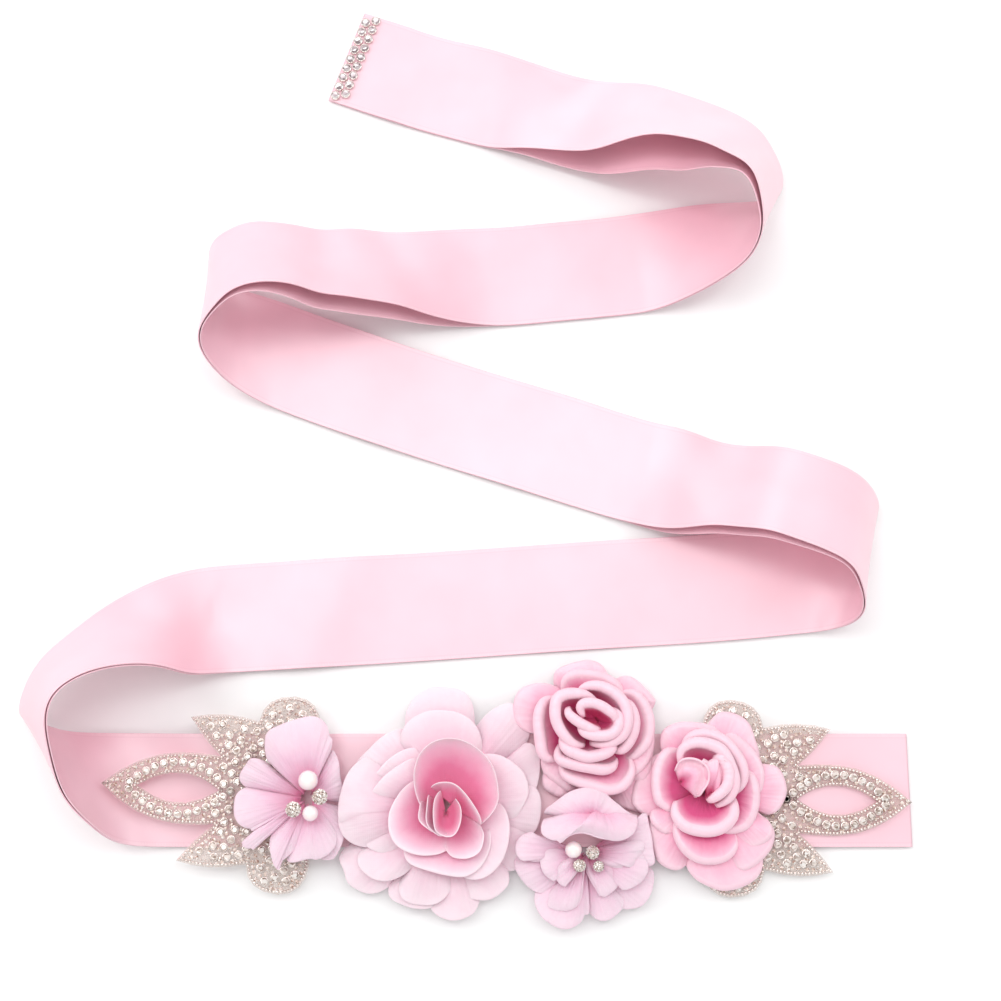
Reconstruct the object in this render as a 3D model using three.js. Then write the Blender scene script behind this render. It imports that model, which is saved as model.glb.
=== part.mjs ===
// Satin sash laid out on a table in five stretches, with flowers sewn on the last one.
// The sash is two satin ribbons laid back to back, a face ribbon and a back ribbon.
// Millimetres, +Z up. The origin is on the table under the middle of the sash. The flowers
// are on the -Y side, and the plain end with its rows of stones is on the +Y side.
import * as THREE from 'three';
import { mergeVertices } from 'three/addons/utils/BufferGeometryUtils.js';

const RIBBON_WIDTH = 40;
const WALL = 1; // cloth thickness
const SEAM = 0.3; // gap left between pieces that touch
const STRETCH_STEP = 11; // longest steps along the ribbons
const BEND_STEP = 6;
const SASH_HALF = WALL + SEAM / 2; // from the middle of the sash to its outer face

// Stations along the middle line of the sash: x, y, foot, yaw, lean and opening.
// foot is the height of the far edge above the table, yaw the heading of the line from the
// near edge to the far one, and lean how far the near edge is tipped up. opening is the
// angle between the two ribbons, hinged at the far edge: above zero the back ribbon swings
// away, and below zero the face ribbon does. Angles are in degrees.
const STRETCHES = [
  [[-47, 159, 0, 70, 0, 0], [-16, 148, 0, 72, 0, 0], [15, 139, 0, 73, 0, 0],
    [30, 134.5, 0.2, 72, 9, 7], [45, 130.5, 0.8, 69, 18, 15], [60, 127, 5, 64, 26, 20],
    [74, 123.5, 9.5, 60, 32, 22], [89, 118.5, 13, 56, 39, 21]],
  [[93, 77, 0, 95, 21, 1], [78, 73.5, 0, 97, 9, 1], [62, 71, 0, 96, 1, 0],
    [32, 68, 0, 94, 0, 0], [16, 66.5, 0, 93, 1, 0], [0, 66, 0.2, 94, 8, -6],
    [-15, 65.5, 0.4, 96, 18, -10], [-30.5, 65.5, 2.2, 100, 26, -12],
    [-45.5, 66, 7, 102, 30, -12], [-60.5, 66.5, 12.5, 105, 34, -10]],
  [[-75, 36.5, 0, 70, 9, -1], [-61, 31, 0, 70, 1, 0], [-32, 20.5, 0, 72, 0, 0],
    [30, 0.5, 0, 72, 0, 0], [61.5, -9.5, 0, 72, 1, 0], [76.5, -14, 0.2, 71, 10, 5],
    [91, -18, 1.2, 68, 21, 7], [105.5, -20.5, 8, 66, 24, 7], [120, -24, 14.5, 64, 25, 6]],
  [[125, -52, 0, 94, 0, 0], [93, -55, 0, 94, 0, 0], [45, -58, 0, 94, 0, 0],
    [-20, -62.5, 0, 94, 0, 0], [-69, -65.5, 0, 94, 0, 0], [-85, -66.5, 0.2, 97, 2, 0],
    [-97, -68, 1.5, 107, 11, 0], [-108, -70.5, 3.5, 121, 26, 0],
    [-120.5, -74.5, 6, 134, 41, 0]],
  [[-110, -128.4, 0, 92, 3, 0], [-98, -128.5, 0, 90, 0, 0], [-84, -128.5, 0, 90, 0, 0],
    [-50, -128.5, 0, 90, 0, 0], [50, -128.5, 0, 90, 0, 0], [162, -128.5, 0, 90, 0, 0]],
];
const BENDS = [
  [[103, 112, 14.5, 52, 45, 11], [114.5, 101, 12, 53, 50, 4], [117, 87, 3.6, 61, 50, 1.5],
    [107, 80.5, 0.2, 85, 37, 1]],
  [[-76, 66, 18, 106, 34, -6], [-90.5, 60.5, 16.5, 105, 36, -2.5], [-96.5, 50.5, 4.3, 93, 38, -1],
    [-88, 43, 0.2, 76, 25, -1]],
  [[135, -30, 17, 63, 27, 4], [147.5, -38.5, 12.5, 65, 32, 2], [150.5, -47, 1.5, 74, 31, 1],
    [140, -50.5, 0.2, 90, 12, 1]],
  [[-134, -81.5, 8.3, 141, 55, 0], [-143, -90, 9, 154, 59, 0], [-147, -97.5, 8.5, 162, 58, 0],
    [-148.7, -105.2, 7, 156, 55, 0], [-147.6, -114.3, 2, 135, 45, 0], [-140, -122, 0.3, 120, 36, 0],
    [-131.2, -126, 0, 108, 24, 0], [-120.8, -128, 0, 97, 11, 0]],
];

const RIBBON_TOP = 2 * WALL + 2 * SEAM; // where things sewn on the flat sash begin

const LOOKS = {
  face: { color: 0xf6cfe0, roughness: 0.3, metalness: 0 },
  back: { color: 0xeeb9d0, roughness: 0.3, metalness: 0 },
  chiffon: { color: 0xeccbe0, roughness: 0.8, metalness: 0 },
  rose: { color: 0xf9c4d8, roughness: 0.5, metalness: 0 },
  pearl: { color: 0xf4eaea, roughness: 0.15, metalness: 0 },
  stone: { color: 0xd8c8c0, roughness: 0.1, metalness: 0.6 },
  net: { color: 0xded3cf, roughness: 0.6, metalness: 0 },
};

const sash = new THREE.Group();

function addMesh(name, geometry, look, at = [0, 0, 0], parent = sash) {
  const mesh = new THREE.Mesh(geometry, new THREE.MeshStandardMaterial(look));
  mesh.name = name;
  mesh.position.set(...at);
  parent.add(mesh);
  return mesh;
}

// The same shape with one point at each corner.
function closed(geometry) {
  geometry.deleteAttribute('normal');
  geometry.deleteAttribute('uv');
  return mergeVertices(geometry, 1e-4);
}

// A closed body from its points and its triangles.
function body(points, triangles) {
  const geometry = new THREE.BufferGeometry();
  geometry.setAttribute('position', new THREE.Float32BufferAttribute(points.flat(), 3));
  geometry.setIndex(triangles.flat());
  return geometry;
}

// ---- The two ribbons ----

const route = [];
const runs = []; // name, first and last station
STRETCHES.forEach((stretch, i) => {
  runs.push([`stretch_${i + 1}`, route.length, route.length + stretch.length]);
  route.push(...stretch);
  if (BENDS[i]) {
    runs.push([`bend_${i + 1}`, route.length, route.length + BENDS[i].length]);
    route.push(...BENDS[i]);
  }
});
const length = [0];
for (let i = 1; i < route.length; i += 1) {
  const [a, b] = [route[i - 1], route[i]];
  length.push(length[i - 1] + Math.hypot(b[0] - a[0], b[1] - a[1]));
}

// A smooth curve through one of the stations' values that never swings past them.
function smooth(k) {
  const rise = route.slice(1).map((p, i) => (p[k] - route[i][k]) / (length[i + 1] - length[i]));
  const slope = route.map((_, i) => {
    const [a, b] = [rise[i - 1] ?? rise[i], rise[i] ?? rise[i - 1]];
    return a * b > 0 ? (2 * a * b) / (a + b) : 0;
  });
  return (s) => {
    let i = length.findIndex((l) => l > s) - 1;
    if (i < 0) i = route.length - 2;
    const h = length[i + 1] - length[i];
    const t = (s - length[i]) / h;
    const [p, q] = [route[i][k], route[i + 1][k]];
    return p + (q - p) * t * t * (3 - 2 * t)
      + h * t * (1 - t) * (slope[i] * (1 - t) - slope[i + 1] * t);
  };
}
const track = [0, 1, 2, 3, 4, 5].map(smooth);

// The middle of the sash at s, its direction from near edge to far edge, and its opening.
function station(s) {
  const [x, y, foot, yaw, lean, opening] = track.map((f) => f(s));
  const [turn, tip] = [yaw, lean].map(THREE.MathUtils.degToRad);
  const across = new THREE.Vector3(Math.cos(turn) * Math.cos(tip), Math.sin(turn) * Math.cos(tip),
    -Math.sin(tip));
  const z = foot + (RIBBON_WIDTH / 2) * Math.sin(tip) + SASH_HALF * Math.cos(tip);
  return { middle: new THREE.Vector3(x, y, z), across, opening: THREE.MathUtils.degToRad(opening) };
}

// Four corners of one ribbon's wall at s: side is 1 for the face ribbon, -1 for the back.
function corners(s, side) {
  const { middle, across, opening } = station(s);
  const end = length[length.length - 1];
  const ahead = station(Math.min(s + 1, end)).middle;
  const along = ahead.sub(station(Math.max(s - 1, 0)).middle).normalize();
  const out = new THREE.Vector3().crossVectors(along, across).normalize().multiplyScalar(side);
  const far = middle.clone().addScaledVector(across, RIBBON_WIDTH / 2);
  far.addScaledVector(out, (WALL + SEAM) / 2);
  const swing = Math.max(0, -side * opening);
  const way = across.clone().multiplyScalar(-Math.cos(swing)).addScaledVector(out, Math.sin(swing));
  const up = out.clone().multiplyScalar(Math.cos(swing)).addScaledVector(across, Math.sin(swing));
  const near = far.clone().addScaledVector(way, RIBBON_WIDTH);
  return [[far, 1], [near, 1], [near, -1], [far, -1]]
    .map(([p, d]) => p.clone().addScaledVector(up, (d * WALL) / 2).toArray());
}

function ribbonPiece(from, to, side, step) {
  const steps = Math.ceil((to - from) / step);
  const points = [];
  const triangles = [];
  for (let i = 0; i <= steps; i += 1) points.push(...corners(from + ((to - from) * i) / steps, side));
  for (let i = 0; i < steps; i += 1) {
    for (let k = 0; k < 4; k += 1) {
      const [a, b] = [4 * i + k, 4 * i + ((k + 1) % 4)];
      // Both faces of a twisted wall are split along the same diagonal.
      if (k === 2) triangles.push([a, b, a + 4], [b, b + 4, a + 4]);
      else triangles.push([a, b, b + 4], [a, b + 4, a + 4]);
    }
  }
  const last = 4 * steps;
  triangles.push([0, 2, 1], [0, 3, 2], [last, last + 1, last + 2], [last, last + 2, last + 3]);
  return body(points, side > 0 ? triangles : triangles.map((t) => t.reverse()));
}

for (const [name, first, last] of runs) {
  const from = length[first] + (first ? SEAM / 2 : 0);
  const to = last < length.length ? length[last] - SEAM / 2 : length[last - 1];
  const step = name.startsWith('bend') ? BEND_STEP : STRETCH_STEP;
  addMesh(`face_ribbon_${name}`, ribbonPiece(from, to, 1, step), LOOKS.face);
  addMesh(`back_ribbon_${name}`, ribbonPiece(from, to, -1, step), LOOKS.back);
}

// ---- Beaded sprays beside the flowers ----

// Each spray is a net cut in leaves: a long open one out along +X, two pointed and two round.
const SPRAY = [
  [57.5, 0], [45, 11.5, 31, 12.4], [22, 12.8, 16.5, 11.8], [23, 17, 28.7, 25.1],
  [17, 28.5, 4.3, 25], [3.5, 34.5, -7.9, 34.8], [-17, 34.5, -18, 24], [-16, 12, -12, 0],
]; // tip, then the control point and end of each curve, round the half on the +Y side
const SPRAY_EYE = { from: 16, to: 45, half: 5.2 };
const NET = 1; // thickness
const BEADING = 1.6; // height of the beads and stones on it
const BEADING_INSET = 1;

// The outline of the whole spray, moved in by inset.
function sprayOutline(inset) {
  const half = [];
  let at = new THREE.Vector2(...SPRAY[0]);
  for (const [cx, cy, x, y] of SPRAY.slice(1)) {
    const curve = new THREE.QuadraticBezierCurve(at, new THREE.Vector2(cx, cy), new THREE.Vector2(x, y));
    half.push(...curve.getPoints(4).slice(0, -1));
    at = curve.v2;
  }
  const points = [...half, at, ...half.slice(1).reverse().map((p) => new THREE.Vector2(p.x, -p.y))];
  return points.map((p, i) => {
    const before = points[(i + points.length - 1) % points.length];
    const after = points[(i + 1) % points.length];
    const way = after.clone().sub(before).normalize();
    return new THREE.Vector2(p.x - way.y * inset, p.y + way.x * inset);
  });
}

function sprayPlate(inset, thick) {
  const shape = new THREE.Shape(sprayOutline(inset));
  const { from, to, half } = SPRAY_EYE;
  const eye = new THREE.Path();
  eye.moveTo(from - inset, 0);
  eye.quadraticCurveTo((from + to) / 2, 2 * (half + inset), to + inset, 0);
  eye.quadraticCurveTo((from + to) / 2, -2 * (half + inset), from - inset, 0);
  shape.holes.push(eye);
  return closed(new THREE.ExtrudeGeometry(shape, { depth: thick, bevelEnabled: false, curveSegments: 5 }));
}

// Left and right: where the middle of the spray is, its heading, and how far its tip is raised.
const SPRAYS = {
  left: { x: -70, y: -129.5, z: 4.6, heading: 176.4, rise: 6 },
  right: { x: 104.8, y: -131.3, z: RIBBON_TOP, heading: -1.5, rise: 0 },
};
for (const [side, { x, y, z, heading, rise }] of Object.entries(SPRAYS)) {
  const group = new THREE.Group();
  group.position.set(x, y, z);
  group.rotation.set(0, THREE.MathUtils.degToRad(-rise), THREE.MathUtils.degToRad(heading), 'ZYX');
  sash.add(group);
  addMesh(`spray_${side}_net`, sprayPlate(0, NET), LOOKS.net, [0, 0, 0], group);
  addMesh(`spray_${side}_beading`, sprayPlate(BEADING_INSET, BEADING), LOOKS.stone,
    [0, 0, NET + SEAM], group);
}

// ---- Rows of stones at the plain end ----

const STONES = 9;
const STONE_PITCH = 4.2;
const STONE_RADIUS = 2.25; // a little over half the pitch, so that the cups join in a row
const STONE_HEIGHT = 1.8;
const STONE_ROWS = { outer: [2.4, -1], inner: [6.9, 1] }; // in from the end, and along the row

function stoneRow() {
  const shape = new THREE.Shape();
  const meet = Math.acos(STONE_PITCH / 2 / STONE_RADIUS);
  for (const side of [1, -1]) {
    for (let i = 0; i < STONES; i += 1) {
      const x = side * (i - (STONES - 1) / 2) * -STONE_PITCH;
      const from = i ? meet : 0;
      const to = Math.PI - (i < STONES - 1 ? meet : 0);
      const turn = side > 0 ? 0 : Math.PI;
      shape.absarc(x, 0, STONE_RADIUS, turn + from, turn + to, false);
    }
  }
  return closed(new THREE.ExtrudeGeometry(shape, {
    depth: STONE_HEIGHT, bevelEnabled: false, curveSegments: 4,
  }));
}

const end = station(0);
const endHeading = Math.atan2(end.across.y, end.across.x);
for (const [row, [inward, shift]] of Object.entries(STONE_ROWS)) {
  const x = end.middle.x + inward * Math.sin(endHeading) + shift * Math.cos(endHeading);
  const y = end.middle.y - inward * Math.cos(endHeading) + shift * Math.sin(endHeading);
  const mesh = addMesh(`stone_row_${row}`, stoneRow(), LOOKS.stone, [x, y, RIBBON_TOP]);
  mesh.rotation.z = endHeading;
}

// ---- Flowers ----

// Each flower: middle, height it is sewn at, petals in a layer, and its layers from the
// outside in, as radius and rise. Where two flowers meet, both stop at the line between them.
const SPRAY_TOP = RIBBON_TOP + NET + SEAM + BEADING + SEAM;
const FLOWERS = {
  chiffon_flower_left: {
    x: -53, y: -131, z: SPRAY_TOP + 0.7, petals: 5, look: LOOKS.chiffon, layers: [[27, 8], [19, 11]],
  },
  chiffon_rose: {
    x: -7, y: -133, z: RIBBON_TOP, petals: 6, look: LOOKS.chiffon,
    layers: [[38, 10], [31, 15], [23, 20], [14, 23]], bud: 4.5,
  },
  satin_rose_top: {
    x: 44.4, y: -107.2, z: RIBBON_TOP, petals: 5, look: LOOKS.rose,
    layers: [[25.5, 12], [19, 18], [12, 22]], bud: 4,
  },
  chiffon_flower_right: {
    x: 43.6, y: -151.6, z: RIBBON_TOP, petals: 6, look: LOOKS.chiffon, layers: [[25.5, 8], [18, 12]],
  },
  satin_rose_right: {
    x: 87.5, y: -131.8, z: SPRAY_TOP, petals: 5, look: LOOKS.rose,
    layers: [[29, 12], [21.5, 17], [13, 21]], bud: 4,
  },
};
const LAYER_RISE = 1.6; // each layer is sewn this much above the one outside it
const NOTCH = 0.1; // depth of the notches between petals, as a share of the radius
const CURL = 1.4; // how late a petal turns up: its height goes as this power of the radius
const RINGS = 3;

// How far flower a reaches towards heading before the line between it and a neighbour.
function reach(a, heading) {
  let far = Infinity;
  for (const b of Object.values(FLOWERS)) {
    const apart = Math.hypot(b.x - a.x, b.y - a.y);
    const [ra, rb] = [a.layers[0][0], b.layers[0][0]];
    const towards = Math.cos(heading - Math.atan2(b.y - a.y, b.x - a.x));
    if (b !== a && apart < ra + rb && towards > 0) {
      const line = (apart * apart + ra * ra - rb * rb) / (2 * apart) - SEAM / 2;
      far = Math.min(far, line / towards);
    }
  }
  return far;
}

// One layer of petals, as a lobed dish whose wall has the same thickness all over.
function petalLayer(flower, k) {
  const [radius, rise] = flower.layers[k];
  const around = flower.petals * 4;
  const points = [[0, 0, 0], [0, 0, WALL]];
  const triangles = [];
  for (let j = 0; j < around; j += 1) {
    const heading = (2 * Math.PI * j) / around;
    const lobe = Math.abs(Math.cos((flower.petals / 2) * heading + (k * Math.PI) / 2));
    const edge = Math.min(radius * (1 - NOTCH * (1 - lobe)), reach(flower, heading));
    const [c, s] = [Math.cos(heading), Math.sin(heading)];
    for (let i = 1; i <= RINGS; i += 1) {
      const t = i / RINGS;
      const slope = ((rise * CURL) / edge) * t ** (CURL - 1);
      const [out, up] = [-slope, 1].map((v) => (v * WALL) / Math.hypot(slope, 1));
      const [r, z] = [edge * t, rise * t ** CURL];
      points.push([r * c, r * s, z], [(r + out) * c, (r + out) * s, z + up]);
    }
    const here = 2 + 2 * RINGS * j;
    const next = 2 + 2 * RINGS * ((j + 1) % around);
    triangles.push([0, next, here], [1, here + 1, next + 1]);
    for (let i = 0; i < RINGS - 1; i += 1) {
      const [a, b] = [here + 2 * i, next + 2 * i];
      triangles.push([a, b, b + 2], [a, b + 2, a + 2], [a + 1, b + 3, b + 1], [a + 1, a + 3, b + 3]);
    }
    const [a, b] = [here + 2 * RINGS - 2, next + 2 * RINGS - 2];
    triangles.push([a, b, b + 1], [a, b + 1, a + 1]);
  }
  return body(points, triangles);
}

// The rolled middle of a rose.
function bud(radius, height) {
  const profile = [[0, 0], [0.25, 0.02], [0.9, 0.45], [1, 0.8], [0.7, 1], [0, 1]];
  const points = profile.map(([r, h]) => new THREE.Vector2(r * radius, h * height));
  return closed(new THREE.LatheGeometry(points, 12).rotateX(Math.PI / 2));
}

const BUD_CLEAR = 3.6; // from the innermost layer's middle up to the bud
for (const [name, flower] of Object.entries(FLOWERS)) {
  flower.layers.forEach((_, k) => {
    const z = flower.z + k * LAYER_RISE;
    addMesh(`${name}_layer_${k + 1}`, petalLayer(flower, k), flower.look, [flower.x, flower.y, z]);
  });
  if (flower.bud) {
    const z = flower.z + (flower.layers.length - 1) * LAYER_RISE + BUD_CLEAR;
    const height = flower.layers.at(-1)[1] - BUD_CLEAR + 1;
    addMesh(`${name}_bud`, bud(flower.bud, height), flower.look, [flower.x, flower.y, z]);
  }
}

// ---- Pearls and stones in the middle of the chiffon flowers ----

// Each one: place from the flower's middle, and radius.
const CENTRES = {
  chiffon_flower_left: {
    pearl_large: [0, 6, 3.5], pearl_small: [1, -5.3, 2.8], stone_a: [4.2, 0.3, 2.85],
    stone_b: [-5, -4, 2.85],
  },
  chiffon_flower_right: {
    pearl_large: [-3.5, 2.8, 3], stone_a: [-1.4, -2.7, 2.3], stone_b: [3.2, 1.8, 2.5],
    stone_small: [5.3, -3, 2],
  },
};
const CENTRE_HEIGHT = 6.6; // of their undersides, above where the flower is sewn
for (const [name, beads] of Object.entries(CENTRES)) {
  const flower = FLOWERS[name];
  for (const [bead, [x, y, radius]] of Object.entries(beads)) {
    const round = bead.startsWith('pearl');
    const geometry = round ? new THREE.SphereGeometry(radius, 12, 8)
      : new THREE.CylinderGeometry(radius, 0.5 * radius, 1.4 * radius, 8);
    geometry.rotateX(Math.PI / 2);
    const z = flower.z + CENTRE_HEIGHT + (round ? 1 : 0.7) * radius;
    addMesh(`${name}_${bead}`, closed(geometry), round ? LOOKS.pearl : LOOKS.stone,
      [flower.x + x, flower.y + y, z]);
  }
}

// ---- The whole sash, centred over the origin ----

const box = new THREE.Box3().setFromObject(sash, true);
sash.position.set(-(box.min.x + box.max.x) / 2, -(box.min.y + box.max.y) / 2, 0);

export default sash;
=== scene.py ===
"""A satin sash laid out on a table: two satin ribbons back to back, rows of stones at the
plain end, and five cloth flowers between two beaded sprays on the other.
Lengths are in millimetres up to make_piece, which writes them in metres."""

import math

import bpy
import numpy as np
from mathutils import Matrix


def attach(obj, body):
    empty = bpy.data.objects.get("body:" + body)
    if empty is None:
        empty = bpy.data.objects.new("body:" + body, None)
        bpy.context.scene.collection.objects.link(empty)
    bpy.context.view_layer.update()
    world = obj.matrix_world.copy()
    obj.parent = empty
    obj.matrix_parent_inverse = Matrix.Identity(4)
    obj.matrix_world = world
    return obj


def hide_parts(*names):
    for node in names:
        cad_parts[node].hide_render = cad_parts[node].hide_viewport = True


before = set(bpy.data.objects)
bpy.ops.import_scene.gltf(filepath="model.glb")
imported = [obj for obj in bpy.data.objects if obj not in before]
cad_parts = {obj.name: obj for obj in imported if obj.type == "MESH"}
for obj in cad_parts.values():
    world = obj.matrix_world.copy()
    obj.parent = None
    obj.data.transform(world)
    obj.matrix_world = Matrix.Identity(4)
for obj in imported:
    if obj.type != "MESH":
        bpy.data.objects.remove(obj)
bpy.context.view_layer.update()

MM = 0.001
MIDDLE = np.array([1.068, 1.142, 0.0])  # of the laid-out sash, from where its stations are counted

RIBBON_WIDTH = 40.0
RIBBON_THICK = 0.4
RIBBON_GAP = 0.42  # from the middle of the sash to the middle of each ribbon
UNDER_CLOTH = 0.05  # gap left between the table and the cloth
SASH_HALF = 0.8  # from the table to the middle of the sash where it lies flat
SEWN_AT = 2.6  # height of what is sewn on the flat sash

# Stations along the middle of the sash: x, y, foot, yaw, lean and opening. foot is the height of
# the far edge, yaw the heading from near edge to far edge, lean how far the near edge is tipped
# up, and opening the angle between the ribbons: above zero the back one swings away, below
# zero the face one does.
STRETCHES = [
    [[-47, 159, 0, 70, 0, 0], [-16, 148, 0, 72, 0, 0], [15, 139, 0, 73, 0, 0],
     [30, 134.5, 0.2, 72, 9, 7], [45, 130.5, 0.8, 69, 18, 15], [60, 127, 5, 64, 26, 20],
     [74, 123.5, 9.5, 60, 32, 22], [89, 118.5, 13, 56, 39, 21]],
    [[93, 77, 0, 95, 21, 1], [78, 73.5, 0, 97, 9, 1], [62, 71, 0, 96, 1, 0],
     [32, 68, 0, 94, 0, 0], [16, 66.5, 0, 93, 1, 0], [0, 66, 0.2, 94, 8, -6],
     [-15, 65.5, 0.4, 96, 18, -10], [-30.5, 65.5, 2.2, 100, 26, -12],
     [-45.5, 66, 7, 102, 30, -12], [-60.5, 66.5, 12.5, 105, 34, -10]],
    [[-75, 36.5, 0, 70, 9, -1], [-61, 31, 0, 70, 1, 0], [-32, 20.5, 0, 72, 0, 0],
     [30, 0.5, 0, 72, 0, 0], [61.5, -9.5, 0, 72, 1, 0], [76.5, -14, 0.2, 71, 10, 5],
     [91, -18, 1.2, 68, 21, 7], [105.5, -20.5, 8, 66, 24, 7], [120, -24, 14.5, 64, 25, 6]],
    [[125, -52, 0, 94, 0, 0], [93, -55, 0, 94, 0, 0], [45, -58, 0, 94, 0, 0],
     [-20, -62.5, 0, 94, 0, 0], [-69, -65.5, 0, 94, 0, 0], [-85, -66.5, 0.2, 97, 2, 0],
     [-97, -68, 1.5, 107, 11, 0], [-108, -70.5, 3.5, 121, 26, 0], [-120.5, -74.5, 6, 134, 41, 0]],
    [[-110, -128.4, 0, 92, 3, 0], [-98, -128.5, 0, 90, 0, 0], [-84, -128.5, 0, 90, 0, 0],
     [-50, -128.5, 0, 90, 0, 0], [50, -128.5, 0, 90, 0, 0], [162, -128.5, 0, 90, 0, 0]],
]
BENDS = [
    [[103, 112, 14.5, 52, 45, 11], [114.5, 101, 12, 53, 50, 4], [117, 87, 3.6, 61, 50, 1.5],
     [107, 80.5, 0.2, 85, 37, 1]],
    [[-76, 66, 18, 106, 34, -6], [-90.5, 60.5, 16.5, 105, 36, -2.5], [-96.5, 50.5, 4.3, 93, 38, -1],
     [-88, 43, 0.2, 76, 25, -1]],
    [[135, -30, 17, 63, 27, 4], [147.5, -38.5, 12.5, 65, 32, 2], [150.5, -47, 1.5, 74, 31, 1],
     [140, -50.5, 0.2, 90, 12, 1]],
    [[-134, -81.5, 8.3, 141, 55, 0], [-143, -90, 9, 154, 59, 0], [-147, -97.5, 8.5, 162, 58, 0],
     [-148.7, -105.2, 7, 156, 55, 0], [-147.6, -114.3, 2, 135, 45, 0], [-140, -122, 0.3, 120, 36, 0],
     [-131.2, -126, 0, 108, 24, 0], [-120.8, -128, 0, 97, 11, 0]],
]


# ---- Meshes ----


def grid_quads(rows, cols, closed=False):
    """Quads of a grid of points, row after row; closed joins the last column to the first."""
    i, j = np.meshgrid(np.arange(rows - 1), np.arange(cols if closed else cols - 1), indexing="ij")
    k = (j + 1) % cols
    quads = np.stack([i * cols + j, i * cols + k, (i + 1) * cols + k, (i + 1) * cols + j], -1)
    return quads.reshape(-1, 4)


def copies(points, faces, places):
    """One small shape repeated at many places: its points plus each place, faces renumbered."""
    count = len(points)
    many = (points[None] + places[:, None]).reshape(-1, 3)
    renumbered = faces[None] + count * np.arange(len(places))[:, None, None]
    return many, renumbered.reshape(-1, faces.shape[1])


def make_piece(name, parts, material, smooth=True, thick=0.0, facets=None):
    """One object from several (points, faces, uv) parts, riding on the sash. uv may be None. facets
    seeds a random glint for each face, which the cut stones turn into painted reflections."""
    points, faces, uvs, start = [], [], [], 0
    for part_points, part_faces, uv in parts:
        points.append(part_points)
        faces += (part_faces + start).tolist()
        uvs.append(np.zeros((len(part_points), 2)) if uv is None else uv)
        start += len(part_points)
    points = (np.concatenate(points) - MIDDLE) * MM
    mesh = bpy.data.meshes.new(name)
    mesh.from_pydata(points.tolist(), [], faces)
    corner = np.empty(len(mesh.loops), np.int32)
    mesh.loops.foreach_get("vertex_index", corner)
    uv_map = mesh.uv_layers.new(name="UVMap")
    uv_map.data.foreach_set("uv", np.concatenate(uvs)[corner].ravel().astype(np.float32))
    mesh.polygons.foreach_set("use_smooth", np.full(len(mesh.polygons), smooth))
    if facets is not None:
        glint = mesh.attributes.new("glint", "FLOAT", "FACE")
        glint.data.foreach_set("value", np.random.default_rng(facets).random(len(mesh.polygons)))
    mesh.materials.append(material)
    mesh.validate()
    piece = bpy.data.objects.new(name, mesh)
    bpy.context.scene.collection.objects.link(piece)
    if thick:
        wall = piece.modifiers.new("thickness", "SOLIDIFY")
        wall.thickness = thick * MM
        wall.offset = 0
    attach(piece, "root")
    return piece


# ---- Materials ----


def new_material(name, **values):
    """A material with a Principled BSDF, whose sockets take the given constant values."""
    material = bpy.data.materials.new(name)
    material.use_nodes = True
    shader = material.node_tree.nodes["Principled BSDF"]
    for socket, value in values.items():
        shader.inputs[socket.replace("_", " ")].default_value = value
    return material, material.node_tree, shader


def node(tree, kind, links=(), **settings):
    """A new node with its settings, and links as (input, socket or value)."""
    made = tree.nodes.new(kind)
    for key, value in settings.items():
        setattr(made, key, value)
    for socket, value in links:
        if isinstance(value, bpy.types.NodeSocket):
            tree.links.new(value, made.inputs[socket])
        else:
            made.inputs[socket].default_value = value
    return made


def noise(tree, vector, scale, detail):
    return node(tree, "ShaderNodeTexNoise", [("Vector", vector), ("Scale", scale),
                                             ("Detail", detail)]).outputs[0]


def bump(tree, height, strength, distance, links=()):
    """The normal that a height gives, strongest at distance metres."""
    return node(tree, "ShaderNodeBump", [("Height", height), ("Strength", strength),
                                         ("Distance", distance), *links]).outputs[0]


def maths(tree, operation, *values):
    return node(tree, "ShaderNodeMath", list(enumerate(values)), operation=operation).outputs[0]


def about_zero(tree, value, amount):
    """A value that runs from 0 to 1, centred on zero and multiplied by amount."""
    return maths(tree, "MULTIPLY", maths(tree, "SUBTRACT", value, 0.5), amount)


def mix_colour(tree, factor, first, second):
    return node(tree, "ShaderNodeMix", [(0, factor), (6, first), (7, second)], data_type="RGBA").outputs[2]


def ramp(tree, factor, stops):
    """A colour ramp through the given (position, colour) stops."""
    made = node(tree, "ShaderNodeValToRGB", [(0, factor)])
    elements = made.color_ramp.elements
    elements[0].position, elements[0].color = stops[0][0], (*stops[0][1], 1)
    elements[1].position, elements[1].color = stops[-1][0], (*stops[-1][1], 1)
    for position, colour in stops[1:-1]:
        elements.new(position).color = (*colour, 1)
    return made.outputs["Color"]


def group_socket(group, way, kind, name, value=None):
    socket = group.interface.new_socket(name=name, in_out=way, socket_type=kind)
    if value is not None:
        socket.default_value = value


def make_weave_group():
    """Satin weave from the cloth's own UV: fine long warp threads, broken by short weft crossings."""
    group = bpy.data.node_groups.new("satin_weave", "ShaderNodeTree")
    group_socket(group, "INPUT", "NodeSocketVector", "Vector")
    group_socket(group, "INPUT", "NodeSocketFloat", "Warp", 900.0)
    group_socket(group, "INPUT", "NodeSocketFloat", "Weft", 160.0)
    group_socket(group, "OUTPUT", "NodeSocketFloat", "Height")
    group_socket(group, "OUTPUT", "NodeSocketFloat", "Patch")
    start, end = node(group, "NodeGroupInput"), node(group, "NodeGroupOutput")
    scale = node(group, "ShaderNodeCombineXYZ", [(0, start.outputs["Weft"]), (1, start.outputs["Warp"])])
    threads = node(group, "ShaderNodeVectorMath", [(0, start.outputs["Vector"]), (1, scale.outputs[0])],
                   operation="MULTIPLY")
    fine = noise(group, threads.outputs[0], 1.0, 2.0)
    even = node(group, "ShaderNodeVectorMath", [(0, start.outputs["Vector"]), (1, (1, 0.04, 1))],
                operation="MULTIPLY")
    broad = noise(group, even.outputs[0], 45.0, 2.0)
    group.links.new(fine, end.inputs["Height"])
    group.links.new(broad, end.inputs["Patch"])
    return group


WEAVE = make_weave_group()


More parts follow.
